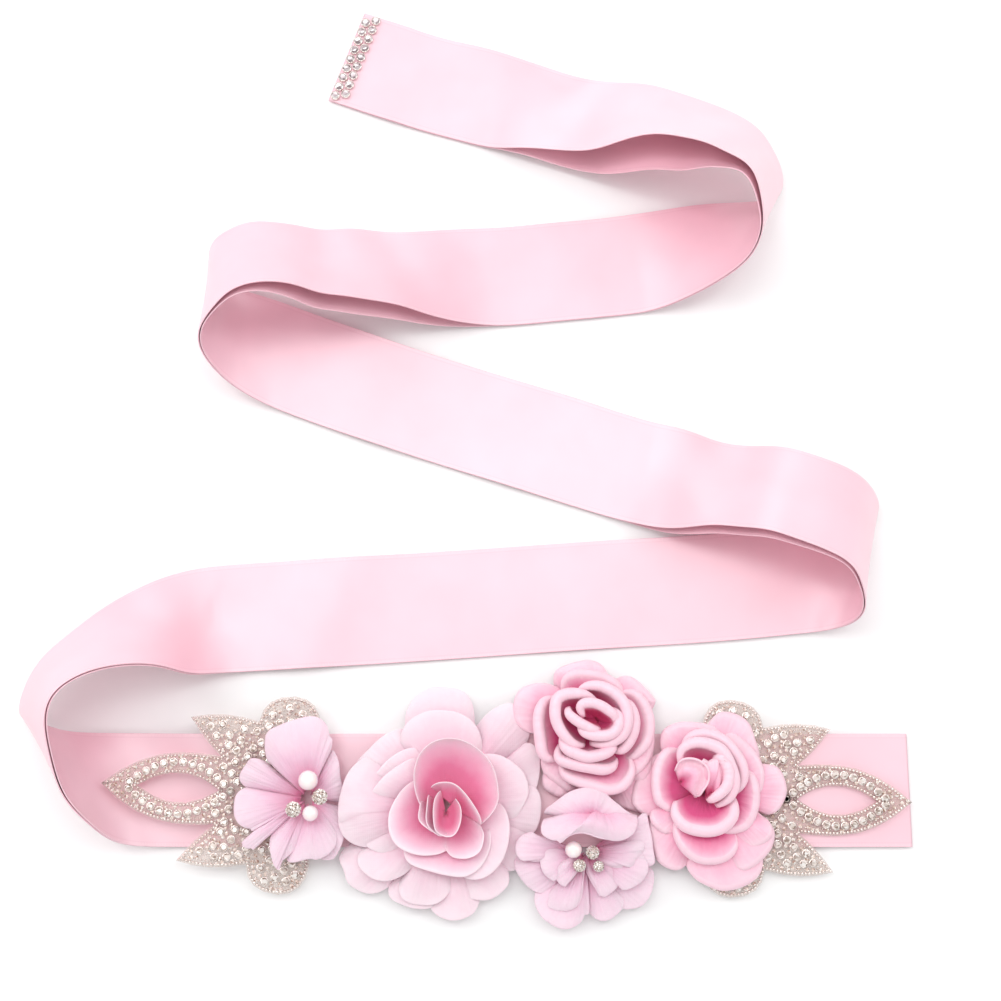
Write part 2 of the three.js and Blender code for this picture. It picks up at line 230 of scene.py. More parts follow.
SELVAGE_RIBS = 6000.0  # radians of the selvage's ribs in a metre of ribbon


def ribbon_satin(name, body, edge):
    """Ribbon satin. UV is metres along the ribbon and 0 to 1 across it: a ribbed selvage at both edges,
    with painted shade in the groove along each.
    """
    material, tree, shader = new_material(
        name, Roughness=0.5, Specular_IOR_Level=1.0, Sheen_Weight=0.06, Sheen_Roughness=0.5,
        Sheen_Tint=(1, 0.85, 0.9, 1), Coat_Weight=0.8, Coat_Roughness=0.33, Coat_IOR=1.75)
    uv = node(tree, "ShaderNodeUVMap", uv_map="UVMap").outputs[0]
    split = node(tree, "ShaderNodeSeparateXYZ", [(0, uv)])
    threads = node(tree, "ShaderNodeGroup", [("Vector", uv), ("Warp", 260.0), ("Weft", 420.0)],
                   node_tree=WEAVE)
    patch = node(tree, "ShaderNodeMapRange", [("Value", threads.outputs["Patch"]), ("From Min", 0.3),
                                              ("From Max", 0.7), ("To Min", 0.96), ("To Max", 1.03)])
    from_edge = maths(tree, "MINIMUM", split.outputs[1], maths(tree, "SUBTRACT", 1.0, split.outputs[1]))
    selvage = node(tree, "ShaderNodeMapRange", [("Value", from_edge), ("From Min", 0.026),
                                                ("From Max", 0.04), ("To Min", 1.0), ("To Max", 0.0)])
    groove = maths(tree, "COMPARE", from_edge, 0.036, 0.006)
    colour = mix_colour(tree, selvage.outputs[0], (*body, 1), (*edge, 1))
    tinted = node(tree, "ShaderNodeHueSaturation", [("Color", colour), ("Value", patch.outputs[0])])
    # The groove is darkened towards a deeper pink: painted shade in the groove.
    painted_groove_shade = mix_colour(tree, maths(tree, "MULTIPLY", groove, 0.18), tinted.outputs[0],
                        (body[0] * 0.8, body[1] * 0.66, body[2] * 0.72, 1))
    tree.links.new(painted_groove_shade, shader.inputs["Base Color"])
    ribbing = maths(tree, "SINE", maths(tree, "MULTIPLY", split.outputs[0], SELVAGE_RIBS))
    ribs = maths(tree, "MULTIPLY", ribbing, selvage.outputs[0])
    height = maths(tree, "ADD", maths(tree, "MULTIPLY", threads.outputs["Height"], 0.3),
                   maths(tree, "SUBTRACT", maths(tree, "MULTIPLY", ribs, 0.4), groove))
    tree.links.new(bump(tree, height, 0.16, 0.0003), shader.inputs["Normal"])
    return material


def petal_cloth(name, deep, body, rim, roughness, sheen, thread_scale, bump_strength, see_through, stops,
                gathers):
    """Petal cloth, from deep at the petal's base over body to rim at the given stops. deep is painted
    shade, for the shade that falls deep in the flower near the petals' feet. UV's second value runs
    from 0 at the base to 1 at the rim."""
    material, tree, shader = new_material(
        name, Roughness=roughness, Specular_IOR_Level=0.45, Sheen_Weight=sheen, Sheen_Roughness=0.5,
        Sheen_Tint=(1, 0.92, 0.95, 1), Subsurface_Weight=see_through, Subsurface_Scale=0.004,
        Subsurface_Radius=(1.0, 0.45, 0.55))
    uv = node(tree, "ShaderNodeUVMap", uv_map="UVMap").outputs[0]
    up = node(tree, "ShaderNodeSeparateXYZ", [(0, uv)]).outputs[1]
    place = node(tree, "ShaderNodeTexCoord").outputs["Object"]
    cloud = noise(tree, place, 160.0, 4.0)
    shade = maths(tree, "ADD", up, about_zero(tree, cloud, 0.22))
    # The deep end of this ramp, at the petals' bases, is painted shade.
    colour = ramp(tree, shade, list(zip(stops, (deep, body, rim))))
    tree.links.new(colour, shader.inputs["Base Color"])
    warp, weft = (node(tree, "ShaderNodeTexWave", [("Vector", place), ("Scale", thread_scale),
                                                   ("Distortion", 0.6)], bands_direction=way).outputs["Fac"]
                  for way in "XY")
    cloth = maths(tree, "ADD", maths(tree, "ADD", warp, weft), maths(tree, "MULTIPLY", cloud, 2.0))
    fanned = node(tree, "ShaderNodeVectorMath", [(0, uv), (1, (7.0, 0.9, 1.0))], operation="MULTIPLY")
    drawn = node(tree, "ShaderNodeVectorMath", [(0, fanned.outputs[0]), (1, place)], operation="ADD")
    gathered = bump(tree, noise(tree, drawn.outputs[0], 1.6, 1.5), gathers, 0.004)
    woven = bump(tree, cloth, bump_strength, 0.0003, [("Normal", gathered)])
    tree.links.new(woven, shader.inputs["Normal"])
    return material


def cut_stone(name, dark, light, metal):
    """Cut stones: each facet takes its own shade from the glint attribute, a painted reflection that
    runs from dark through light to near white for the surroundings mirrored in the facets.
    """
    material, tree, shader = new_material(name, Roughness=0.1, Metallic=metal, Specular_IOR_Level=0.9,
                                          Coat_Weight=0.6, Coat_Roughness=0.04)
    glint = node(tree, "ShaderNodeAttribute", attribute_name="glint").outputs["Fac"]
    # Painted reflections: dark, mid and light facets and a few near-white glints.
    colour = ramp(tree, glint, [(0.0, dark), (0.3, tuple(0.5 * (a + b) for a, b in zip(dark, light))),
                                (0.55, light), (1.0, (1.0, 0.99, 0.97))])
    tree.links.new(colour, shader.inputs["Base Color"])
    rough = node(tree, "ShaderNodeMapRange", [("Value", glint), ("To Min", 0.22), ("To Max", 0.05)])
    tree.links.new(rough.outputs[0], shader.inputs["Roughness"])
    return material


def pearl_shell():
    """Pearl: a cream body with a soft pink cast seen aslant, under a clear coat."""
    material, tree, shader = new_material("pearl_shell", Roughness=0.28, Specular_IOR_Level=0.6,
                                          Coat_Weight=1.0, Coat_Roughness=0.05, Subsurface_Weight=0.2,
                                          Subsurface_Scale=0.002)
    aslant = node(tree, "ShaderNodeLayerWeight", [("Blend", 0.35)]).outputs["Facing"]
    place = node(tree, "ShaderNodeTexCoord").outputs["Object"]
    cloud = noise(tree, place, 500.0, 3.0)
    shade = maths(tree, "ADD", aslant, about_zero(tree, cloud, 0.2))
    colour = ramp(tree, shade, [(0.0, (0.94, 0.88, 0.86)), (0.5, (0.9, 0.74, 0.77)),
                                (1.0, (0.72, 0.5, 0.56))])
    tree.links.new(colour, shader.inputs["Base Color"])
    tree.links.new(bump(tree, cloud, 0.05, 0.0002), shader.inputs["Normal"])
    return material


def sheer_net():
    """Fine net: crossed threads with holes between them, as alpha on the net's own place."""
    material, tree, shader = new_material("sheer_net", Roughness=0.5, Specular_IOR_Level=0.4,
                                          Sheen_Weight=0.3)
    place = node(tree, "ShaderNodeTexCoord").outputs["Object"]
    cells = node(tree, "ShaderNodeTexVoronoi", [("Vector", place), ("Scale", 1500.0)],
                 feature="DISTANCE_TO_EDGE")
    thread = node(tree, "ShaderNodeMapRange", [("Value", cells.outputs["Distance"]), ("From Min", 0.05),
                                               ("From Max", 0.16), ("To Min", 0.55), ("To Max", 0.1)])
    tree.links.new(thread.outputs[0], shader.inputs["Alpha"])
    colour = ramp(tree, cells.outputs["Distance"], [(0.0, (0.9, 0.78, 0.72)), (0.3, (0.86, 0.72, 0.66))])
    tree.links.new(colour, shader.inputs["Base Color"])
    tree.links.new(bump(tree, thread.outputs[0], 0.2, 0.0002), shader.inputs["Normal"])
    return material


def silver():
    """Silver cups and beads, a little tarnished where the noise is low."""
    material, tree, shader = new_material("silver", Metallic=0.9, Roughness=0.22)
    place = node(tree, "ShaderNodeTexCoord").outputs["Object"]
    cloud = noise(tree, place, 900.0, 2.0)
    colour = ramp(tree, cloud, [(0.3, (0.72, 0.6, 0.55)), (0.6, (0.95, 0.88, 0.84))])
    tree.links.new(colour, shader.inputs["Base Color"])
    rough = node(tree, "ShaderNodeMapRange", [("Value", cloud), ("To Min", 0.35), ("To Max", 0.12)])
    tree.links.new(rough.outputs[0], shader.inputs["Roughness"])
    return material


FACE_SATIN = ribbon_satin("face_satin", (0.90, 0.555, 0.64), (0.905, 0.57, 0.65))
BACK_SATIN = ribbon_satin("back_satin", (0.89, 0.51, 0.60), (0.895, 0.53, 0.615))
# Each petal cloth's deep colour is painted shade for the flowers' crevices.
CHIFFON = petal_cloth(
    "chiffon", deep=(0.78, 0.22, 0.38), body=(0.87, 0.52, 0.67), rim=(0.91, 0.66, 0.77), roughness=0.75,
    sheen=0.3, thread_scale=420.0, bump_strength=0.10, see_through=0.2, stops=(0.25, 0.68, 0.9), gathers=0.32)
ORGANZA = petal_cloth(
    "organza", deep=(0.82, 0.22, 0.38), body=(0.90, 0.56, 0.68), rim=(0.94, 0.72, 0.80), roughness=0.6,
    sheen=0.25, thread_scale=420.0, bump_strength=0.07, see_through=0.2, stops=(0.22, 0.68, 0.92),
    gathers=0.14)
ROSE_SATIN = petal_cloth(
    "rose_satin", deep=(0.72, 0.10, 0.26), body=(0.91, 0.46, 0.60), rim=(0.94, 0.62, 0.72), roughness=0.36,
    sheen=0.1, thread_scale=520.0, bump_strength=0.06, see_through=0.1, stops=(0.4, 0.8, 0.94), gathers=0.18)
# The stones' and seed beads' facet shades are painted reflections.
STONE = cut_stone("cut_stone", (0.26, 0.17, 0.13), (0.9, 0.8, 0.74), 0.35)
SMOKY = cut_stone("smoky_stone", (0.18, 0.12, 0.13), (0.62, 0.52, 0.55), 0.45)
SEED = cut_stone("seed_bead", (0.38, 0.22, 0.16), (0.95, 0.80, 0.71), 0.2)
PEARL = pearl_shell()
NET = sheer_net()
SILVER = silver()


# ---- The two ribbons ----

FINE_STEP = 1.0
CAUGHT = math.radians(1.3)  # openings smaller than this are held shut by the edge stitches
SETTLE = 1.0  # how softly a ribbon comes down onto the surface
EVEN_OUT = 5.0  # how far the stations' corners are evened out along the ribbon


def sash_tracks():
    """The stations' values along the sash: a cubic between stations whose slope at each is the
    harmonic mean of the slopes beside it, then evened out with a bell curve."""
    route, starts = [], {}
    for i, stretch in enumerate(STRETCHES):
        starts[f"stretch_{i + 1}"] = len(route)
        route += stretch
        if i < len(BENDS):
            starts[f"bend_{i + 1}"] = len(route)
            route += BENDS[i]
    route = np.array(route, float)
    at = np.concatenate([[0], np.cumsum(np.hypot(*np.diff(route[:, :2], axis=0).T))])
    rise = np.diff(route, axis=0) / np.diff(at)[:, None]
    before, after = np.vstack([rise[:1], rise]), np.vstack([rise, rise[-1:]])
    same_way = before * after > 0
    slope = np.where(same_way, 2 * before * after / np.where(same_way, before + after, 1), 0)
    s = np.linspace(0, at[-1], int(at[-1] / FINE_STEP) + 1)
    i = np.clip(np.searchsorted(at, s, side="right") - 1, 0, len(at) - 2)
    h = np.diff(at)[i, None]
    t = (s - at[i])[:, None] / h
    value = (route[i] + (route[i + 1] - route[i]) * t * t * (3 - 2 * t)
             + h * t * (1 - t) * (slope[i] * (1 - t) - slope[i + 1] * t))
    reach = int(3 * EVEN_OUT / FINE_STEP)
    bell = np.exp(-0.5 * (np.arange(-reach, reach + 1) * FINE_STEP / EVEN_OUT) ** 2)
    padded = np.pad(value, ((reach, reach), (0, 0)), mode="reflect", reflect_type="odd")
    even = np.stack([np.convolve(column, bell / bell.sum(), mode="valid") for column in padded.T], -1)
    return s, even, {name: at[k] for name, k in starts.items()}


# Soft troughs and ridges across the ribbons: where from, distance on, skew, width and height.
CREASES = [
    ("stretch_1", 22, 10, 9, 0.7), ("stretch_1", 66, 26, 14, 1.9), ("stretch_1", 96, 24, 11, -1.8),
    ("stretch_1", 124, 16, 12, 1.8), ("bend_1", 8, -10, 8, -1.1), ("bend_1", 34, 8, 9, 1.2),
    ("stretch_2", 34, -20, 13, 1.6), ("stretch_2", 84, 10, 16, 1.1), ("stretch_2", 128, -14, 12, -1.5),
    ("stretch_2", 146, 6, 8, 1.8), ("bend_2", 14, 10, 8, 1.1), ("bend_2", 34, -12, 9, -1.1),
    ("stretch_3", 44, 16, 18, 1.4), ("stretch_3", 110, -14, 16, 1.2), ("stretch_3", 150, 24, 11, -1.6),
    ("stretch_3", 172, 22, 10, 2.0), ("stretch_3", 198, 4, 9, 1.6), ("bend_3", 16, 8, 9, -1.1),
    ("bend_3", 36, -10, 8, 0.9), ("stretch_4", 44, 22, 18, 1.4), ("stretch_4", 110, 18, 20, 1.2),
    ("stretch_4", 176, 20, 16, -1.9), ("stretch_4", 214, 30, 10, 2.4), ("bend_4", 16, 10, 10, -1.2),
    ("bend_4", 50, 12, 9, 1.2), ("stretch_5", 24, 22, 12, 1.4), ("stretch_5", 235, 10, 14, 0.7),
]


def ribbon(side, columns=25):
    """One ribbon. Each row of points runs straight from the far edge to the near edge, hinged at
    the far edge by its opening and moved out along the wall's normal by the creases."""
    s, values, starts = sash_tracks()
    x, y, foot, yaw, lean, opening = values.T
    turn, tip, opening = np.radians(yaw), np.radians(lean), np.radians(opening)
    across = np.stack([np.cos(turn) * np.cos(tip), np.sin(turn) * np.cos(tip), -np.sin(tip)], -1)
    height = foot + RIBBON_WIDTH / 2 * np.sin(tip) + SASH_HALF * np.cos(tip)
    middle = np.stack([x, y, height], -1)
    along = np.gradient(middle, axis=0)
    along /= np.linalg.norm(along, axis=1, keepdims=True)
    out = np.cross(along, across)
    out *= side / np.linalg.norm(out, axis=1, keepdims=True)
    far = middle + across * RIBBON_WIDTH / 2 + out * RIBBON_GAP
    swing = np.maximum(0, -side * opening - CAUGHT)[:, None]
    way = -across * np.cos(swing) + out * np.sin(swing)
    up = out * np.cos(swing) + across * np.sin(swing)
    v = (0.5 - 0.5 * np.cos(np.linspace(0, np.pi, columns)))[None, :]
    lift = np.zeros((len(s), columns))
    for name, distance, skew, width, tall in CREASES:
        from_crease = (s[:, None] - starts[name] - distance - skew * (v - 0.5)) / width
        lift += tall * np.exp(-from_crease**2)
    points = (far[:, None] + way[:, None] * RIBBON_WIDTH * v[..., None]
              + up[:, None] * (side * lift)[..., None])
    # Whichever ribbon is on top stops twice RIBBON_GAP above where the one under it does.
    lowest = RIBBON_THICK / 2 + UNDER_CLOTH + RIBBON_GAP * (1 + out[:, None, 2])
    above = points[..., 2] - lowest
    points[..., 2] = lowest + 0.5 * (above + np.sqrt(above**2 + SETTLE**2))
    uv = np.stack([np.broadcast_to(s[:, None] * MM, lift.shape), np.broadcast_to(v, lift.shape)], -1)
    quads = grid_quads(len(s), columns)
    return points.reshape(-1, 3), quads if side < 0 else quads[:, ::-1], uv.reshape(-1, 2), s[-1]


RUNS = [f"stretch_{i}" for i in range(1, 6)] + [f"bend_{i}" for i in range(1, 5)]
for ribbon_name, side, cloth, cloth_slot in (("face_ribbon", 1, FACE_SATIN, "face_satin"),
                                             ("back_ribbon", -1, BACK_SATIN, "back_satin")):
    points, quads, uv, ribbon_length = ribbon(side)
    piece = make_piece(ribbon_name, [(points, quads, uv)], cloth, thick=RIBBON_THICK)
    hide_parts(*[f"{ribbon_name}_{run}" for run in RUNS])


# ---- Petals ----

# Petals that share a foot: its place, how far out and how high their bellies are, as shares of the
# way from foot to rim, the radius their rims are rolled on, and the points each rim runs through.

CHIFFON_ROSE = [
    ((-5.2, -134.3, 3.4), 0.6, 1.2, 0.6, [
        [(22.4, -123.2, 6), (28, -128.7, 6.8), (29.1, -135.6, 7), (27.3, -142.5, 6.8), (23.1, -146.6, 6)],
        [(-21.5, -106.4, 5), (-19.7, -100, 5.6), (-15.5, -94.3, 5.9), (-9.8, -91.9, 6), (-1.2, -92.6, 5.9),
         (3.5, -95.8, 5.6), (6.6, -102.8, 5)],
        [(6.4, -103.2, 5), (12.5, -99, 5.8), (18.9, -97.8, 6), (23.9, -103.6, 5.8), (26.8, -110.6, 5)],
        [(-40, -121.1, 6), (-34.4, -115.5, 6.5), (-28.8, -109.9, 6.5), (-21.8, -106.4, 6), (-19, -106, 5)],
        [(-42.7, -142.3, 12), (-42.9, -135.5, 11.8), (-42.1, -128.7, 11), (-39.6, -121.8, 9.8),
         (-33.5, -114.8, 8)],
        [(-42.7, -134.1, 12), (-42.8, -139.6, 11.8), (-41.1, -144.3, 11), (-36.9, -147.8, 9.8),
         (-30.8, -149.2, 8)],
        [(-43.6, -148.7, 6), (-43.2, -152, 6.4), (-41, -156.1, 6.6), (-39.1, -160.9, 6.4),
         (-33.5, -164.3, 5.8), (-26.6, -164.9, 5)],
        [(-27.3, -164.7, 5), (-21.6, -167.6, 5.8), (-15.3, -169.5, 6), (-9.1, -169, 5.8), (-4.2, -165, 5)],
        [(-12.2, -169.1, 5), (-6.9, -172.3, 5.8), (-1.4, -173.4, 6), (4.9, -171.3, 5.8), (8.8, -166.4, 5)],
        [(-1.5, -163.7, 5), (4.2, -166.2, 5.8), (11.1, -166.3, 6), (16.7, -162.3, 5.8), (19.2, -157.6, 5)],
        [(18.1, -158.9, 5), (23.7, -152.1, 5.9), (25.2, -142.5, 5.9), (22.4, -134.3, 5)],
        [(26.1, -109.2, 5), (28.8, -117.6, 5.8), (28.1, -126, 6), (24.5, -134.3, 5.8), (20.3, -139.8, 5)],
    ]),
    ((-5.2, -134.3, 4.5), 0.65, 1.1, 0.6, [
        [(-23.7, -110.6, 8), (-18.8, -104.4, 8.6), (-13.1, -100.9, 8.9), (-7.4, -100.2, 9),
         (-0.3, -101.2, 8.9), (5.4, -105.1, 8.6), (9.7, -112.7, 8)],
        [(-37.4, -149.6, 8), (-35.5, -155, 8.6), (-30.6, -159, 9), (-25, -160, 9), (-19.5, -158.3, 8.6),
         (-15.7, -155.3, 8)],
        [(-23, -162.2, 7), (-19.4, -166.5, 7.8), (-13.8, -168.2, 8), (-7.6, -167.5, 7.8),
         (-1.7, -162.8, 7)],
        [(8.3, -114.1, 8), (16, -116.9, 8.6), (22.4, -121.8, 9), (24.6, -128.7, 9), (22.3, -134.9, 8.6),
         (18.8, -141.1, 8)],
        [(-36.6, -138.3, 8), (-36.4, -143.8, 8.8), (-32.1, -148.5, 9), (-25.8, -150.9, 8.8),
         (-18.9, -151.3, 8)],
    ]),
    ((-5.2, -134.3, 4.5), 0.75, 0.9, 0.6, [
        [(-32.5, -125.9, 9), (-26.2, -118.3, 9.9), (-20, -114.2, 9.9), (-13.7, -112.8, 9)],
    ]),
    ((-5.2, -134.3, 5.5), 0.75, 0.9, 0.6, [
        [(-33, -131.4, 11), (-28.1, -124.9, 11.9), (-21.9, -119.7, 11.9), (-15.3, -115.9, 11)],
        [(16.7, -132.8, 11), (17.8, -140.9, 11.6), (17.1, -147.7, 12), (14.6, -153.7, 12),
         (9.1, -158.4, 11.6), (0.8, -160.2, 11)],
    ]),
    ((-5.1, -134.3, 6), 0.8, 0.7, 0.6, [
        [(-21.4, -149, 12), (-17.9, -153.4, 12.5), (-10.9, -156, 12.8), (-4, -157.7, 13), (2.2, -158, 13),
         (7.4, -155, 12.8), (10.8, -149, 12.5), (12.2, -140.9, 12)],
        [(-15.4, -123.2, 13), (-20.9, -129.3, 13.5), (-24.6, -136.1, 13.8), (-24.5, -142.9, 14),
         (-21.3, -147.9, 14), (-15.1, -150.6, 13.8), (-8.2, -150.8, 13.5), (-2.3, -149.6, 13)],
    ]),
    ((-5.1, -134.2, 6.5), 0.85, 0.5, 0.6, [
        [(-5.1, -149.6, 14), (-1.6, -151.6, 14.6), (3.3, -151.7, 15), (7.6, -149.2, 15),
         (9.2, -144.2, 14.6), (8, -140.2, 14)],
    ]),
    ((-5.1, -134.2, 7), 0.98, 0.3, 0.6, [
        [(-14, -135.3, 17), (-16.1, -128.6, 18), (-16.5, -121.8, 18.8), (-14.4, -115.7, 19.4),
         (-10.3, -111.9, 19.8), (-4.8, -110.4, 20), (1.5, -111.3, 20), (7.7, -115, 19.8),
         (12.2, -120.4, 19.4), (14.3, -127.9, 18.8), (13.9, -134, 18), (9.5, -141.3, 17)],
    ]),
    ((-5.1, -134.2, 8), 0.95, 0.4, 0.6, [
        [(-14.7, -132, 17), (-14, -137.3, 17.4), (-11.9, -141, 17.4), (-8.8, -144.1, 17)],
    ]),
    ((-2.2, -134.2, 9), 1, 0.3, 0.9, [
        [(-11, -126, 18), (-6.1, -124.8, 18.3), (-1.3, -125.3, 18.5), (2.6, -128.6, 18.5),
         (6, -134.6, 18.3), (9.1, -140.8, 18)],
    ]),
    ((-5.7, -135.6, 9), 1, 0.3, 0.6, [
        [(-11.7, -129.3, 17), (-11.9, -134.7, 17.4), (-10.8, -140.7, 17.5), (-7.4, -144.4, 17.4),
         (-3.9, -144.7, 17)],
    ]),
    ((-5, -136.2, 9), 1, 0.25, 0.6, [
        [(-6.8, -127.6, 18), (-8.5, -131.3, 18.2), (-9.1, -137.3, 18.4), (-8.4, -142.7, 18.5),
         (-4.6, -145, 18.5), (-1.1, -144.1, 18.5), (0.7, -140, 18.4), (0.7, -134.6, 18.2),
         (-0.9, -130.6, 18)],
    ]),
]

SATIN_ROSE_TOP = [
    ((47.6, -104.5, 3.6), 0.6, 1.2, 1.3, [
        [(52.7, -131.6, 4.6), (58.1, -134.9, 5.3), (64.2, -135.6, 5.6), (67.1, -129.6, 5.3),
         (65.2, -122.8, 4.6)],
    ]),
    ((47.6, -104.5, 3.6), 0.6, 1.2, 1.56, [
        [(32.4, -89.7, 5), (34.5, -86, 5.8), (38.7, -83.8, 6.3), (43.5, -82.4, 6.5), (47.7, -82, 6.3),
         (51.9, -83.7, 5.8), (55.4, -88.3, 5)],
        [(35.8, -91, 7), (31.6, -89.9, 7.7), (26.8, -90.1, 8.2), (21.9, -92.3, 8.5), (19.3, -97.1, 8.5),
         (19.5, -103.9, 8.2), (22.6, -108, 7.7), (27.7, -110, 7)],
        [(55.4, -88, 5), (58.8, -87.3, 5.8), (62.9, -88.4, 6.3), (67, -91.9, 6.5), (70.1, -95.6, 6.3),
         (70.8, -98, 5.8), (69, -102.4, 5)],
        [(61.6, -126.9, 6), (66.3, -125.2, 6.8), (69.5, -120.1, 7), (69.3, -113.4, 6.8), (68.8, -107.3, 6)],
    ]),
    ((47.6, -104.5, 3.8), 0.7, 1, 1.82, [
        [(69.2, -97.8, 8), (69.8, -104.6, 8.8), (69.9, -112.8, 9), (67.3, -119.5, 8.8), (60.7, -125.5, 8)],
    ]),
    ((47.6, -104.5, 3.6), 0.6, 1.2, 1.56, [
        [(28.4, -122.8, 5), (29.7, -127.5, 6.2), (33.5, -130.2, 6.6), (38.3, -131.6, 6)],
    ]),
    ((47.6, -104.5, 3.8), 0.7, 1, 1.82, [
        [(27.9, -116.1, 7), (29.7, -122.2, 7.8), (34.1, -126.2, 8), (38.2, -128.9, 7.8), (42.3, -129.5, 7)],
        [(43.8, -128.9, 6), (51.2, -129.5, 6.9), (58.1, -128.9, 6.9), (61.6, -125.5, 6)],
    ]),
    ((47.6, -104.5, 4), 0.85, 0.6, 1.82, [
        [(35, -91.7, 9), (37.8, -88.6, 9.8), (41.9, -87, 10.3), (46.7, -87.1, 10.5), (51.9, -88.3, 10.3),
         (57, -91.4, 9.8), (60.1, -95.8, 9)],
    ]),
    ((47.6, -104.5, 4), 0.9, 0.5, 1.82, [
        [(34.7, -119.5, 11), (36.7, -122.8, 11.5), (41.4, -125.5, 11.8), (46.8, -127.3, 12),
         (52.9, -128.5, 12), (57.7, -126.8, 11.8), (61.2, -122.2, 11.5), (62.3, -118.2, 11)],
        [(58.4, -92.8, 10), (62.4, -94.5, 10.6), (66.1, -98.6, 10.9), (68, -104.7, 11),
         (66.9, -111.4, 10.9), (63.7, -116.1, 10.6), (61.3, -119.5, 10)],
    ]),
    ((47.6, -104.5, 4), 0.95, 0.4, 1.95, [
        [(32.8, -94.9, 12), (29.7, -98, 12.6), (28.2, -103.4, 13), (28.3, -109.5, 13), (29.6, -115.5, 12.6),
         (33.3, -119.2, 12)],
    ]),
    ((47.5, -104.5, 5), 0.95, 0.4, 1.95, [
        [(34, -113.5, 13), (35.3, -117.2, 13.6), (39.3, -118.8, 14), (44.7, -120.5, 14),
         (50.8, -121.2, 13.6), (57, -119.2, 13)],
    ]),
    ((47.5, -104.5, 5), 0.95, 0.35, 1.82, [
        [(59.1, -95.3, 13), (61, -98.7, 13.6), (61.9, -104.1, 14), (61.2, -108.8, 14), (58.4, -113.5, 13.6),
         (55, -116.2, 13)],
    ]),
    ((47.5, -104.5, 6), 1, 0.3, 1.82, [
        [(34.6, -109.5, 15), (37.3, -113.5, 15.6), (41.3, -115.5, 16), (46, -116.9, 16),
         (52.1, -115.5, 15.6), (56.6, -112.9, 15)],
        [(40.9, -93.5, 15), (45, -91.8, 15.7), (50.4, -92.2, 16.1), (55.4, -95.2, 16.4),
         (58.4, -99.5, 16.5), (59, -104.9, 16.4), (57.2, -109.6, 16.1), (52.8, -112.5, 15.7),
         (46.1, -113.5, 15)],
    ]),
    ((47.4, -104.6, 7), 1.02, 0.25, 1.82, [
        [(49.6, -97.8, 16), (44.2, -95.2, 16.6), (38.1, -95, 17), (34.3, -97.2, 17.2), (33.5, -102.9, 17.2),
         (35.3, -107.6, 17), (39.3, -111.6, 16.6), (44, -113.5, 16)],
    ]),
    ((49.4, -103.9, 8), 1.05, 0.2, 1.69, [
        [(41.4, -105.6, 17), (44, -108.3, 17.4), (48, -109.4, 17.7), (52.7, -108.9, 17.8),
         (55.6, -106.6, 17.7), (56.6, -102.9, 17.4), (55, -99.2, 17)],
    ]),
    ((47.4, -101.5, 8), 1.05, 0.2, 1.56, [
        [(37.7, -99.2, 17.5), (38.6, -102.6, 18.1), (42, -105, 18.3), (46, -106.9, 18.1),
         (50.1, -107.6, 17.5)],
    ]),
    ((48.7, -103.3, 9), 1.1, 0.25, 1.56, [
        [(43.4, -102.9, 18), (43, -99.3, 18.6), (46.7, -98.3, 19), (51.1, -99.3, 19), (54.4, -102.3, 18.6),
         (55.6, -105.6, 18)],
    ]),
]

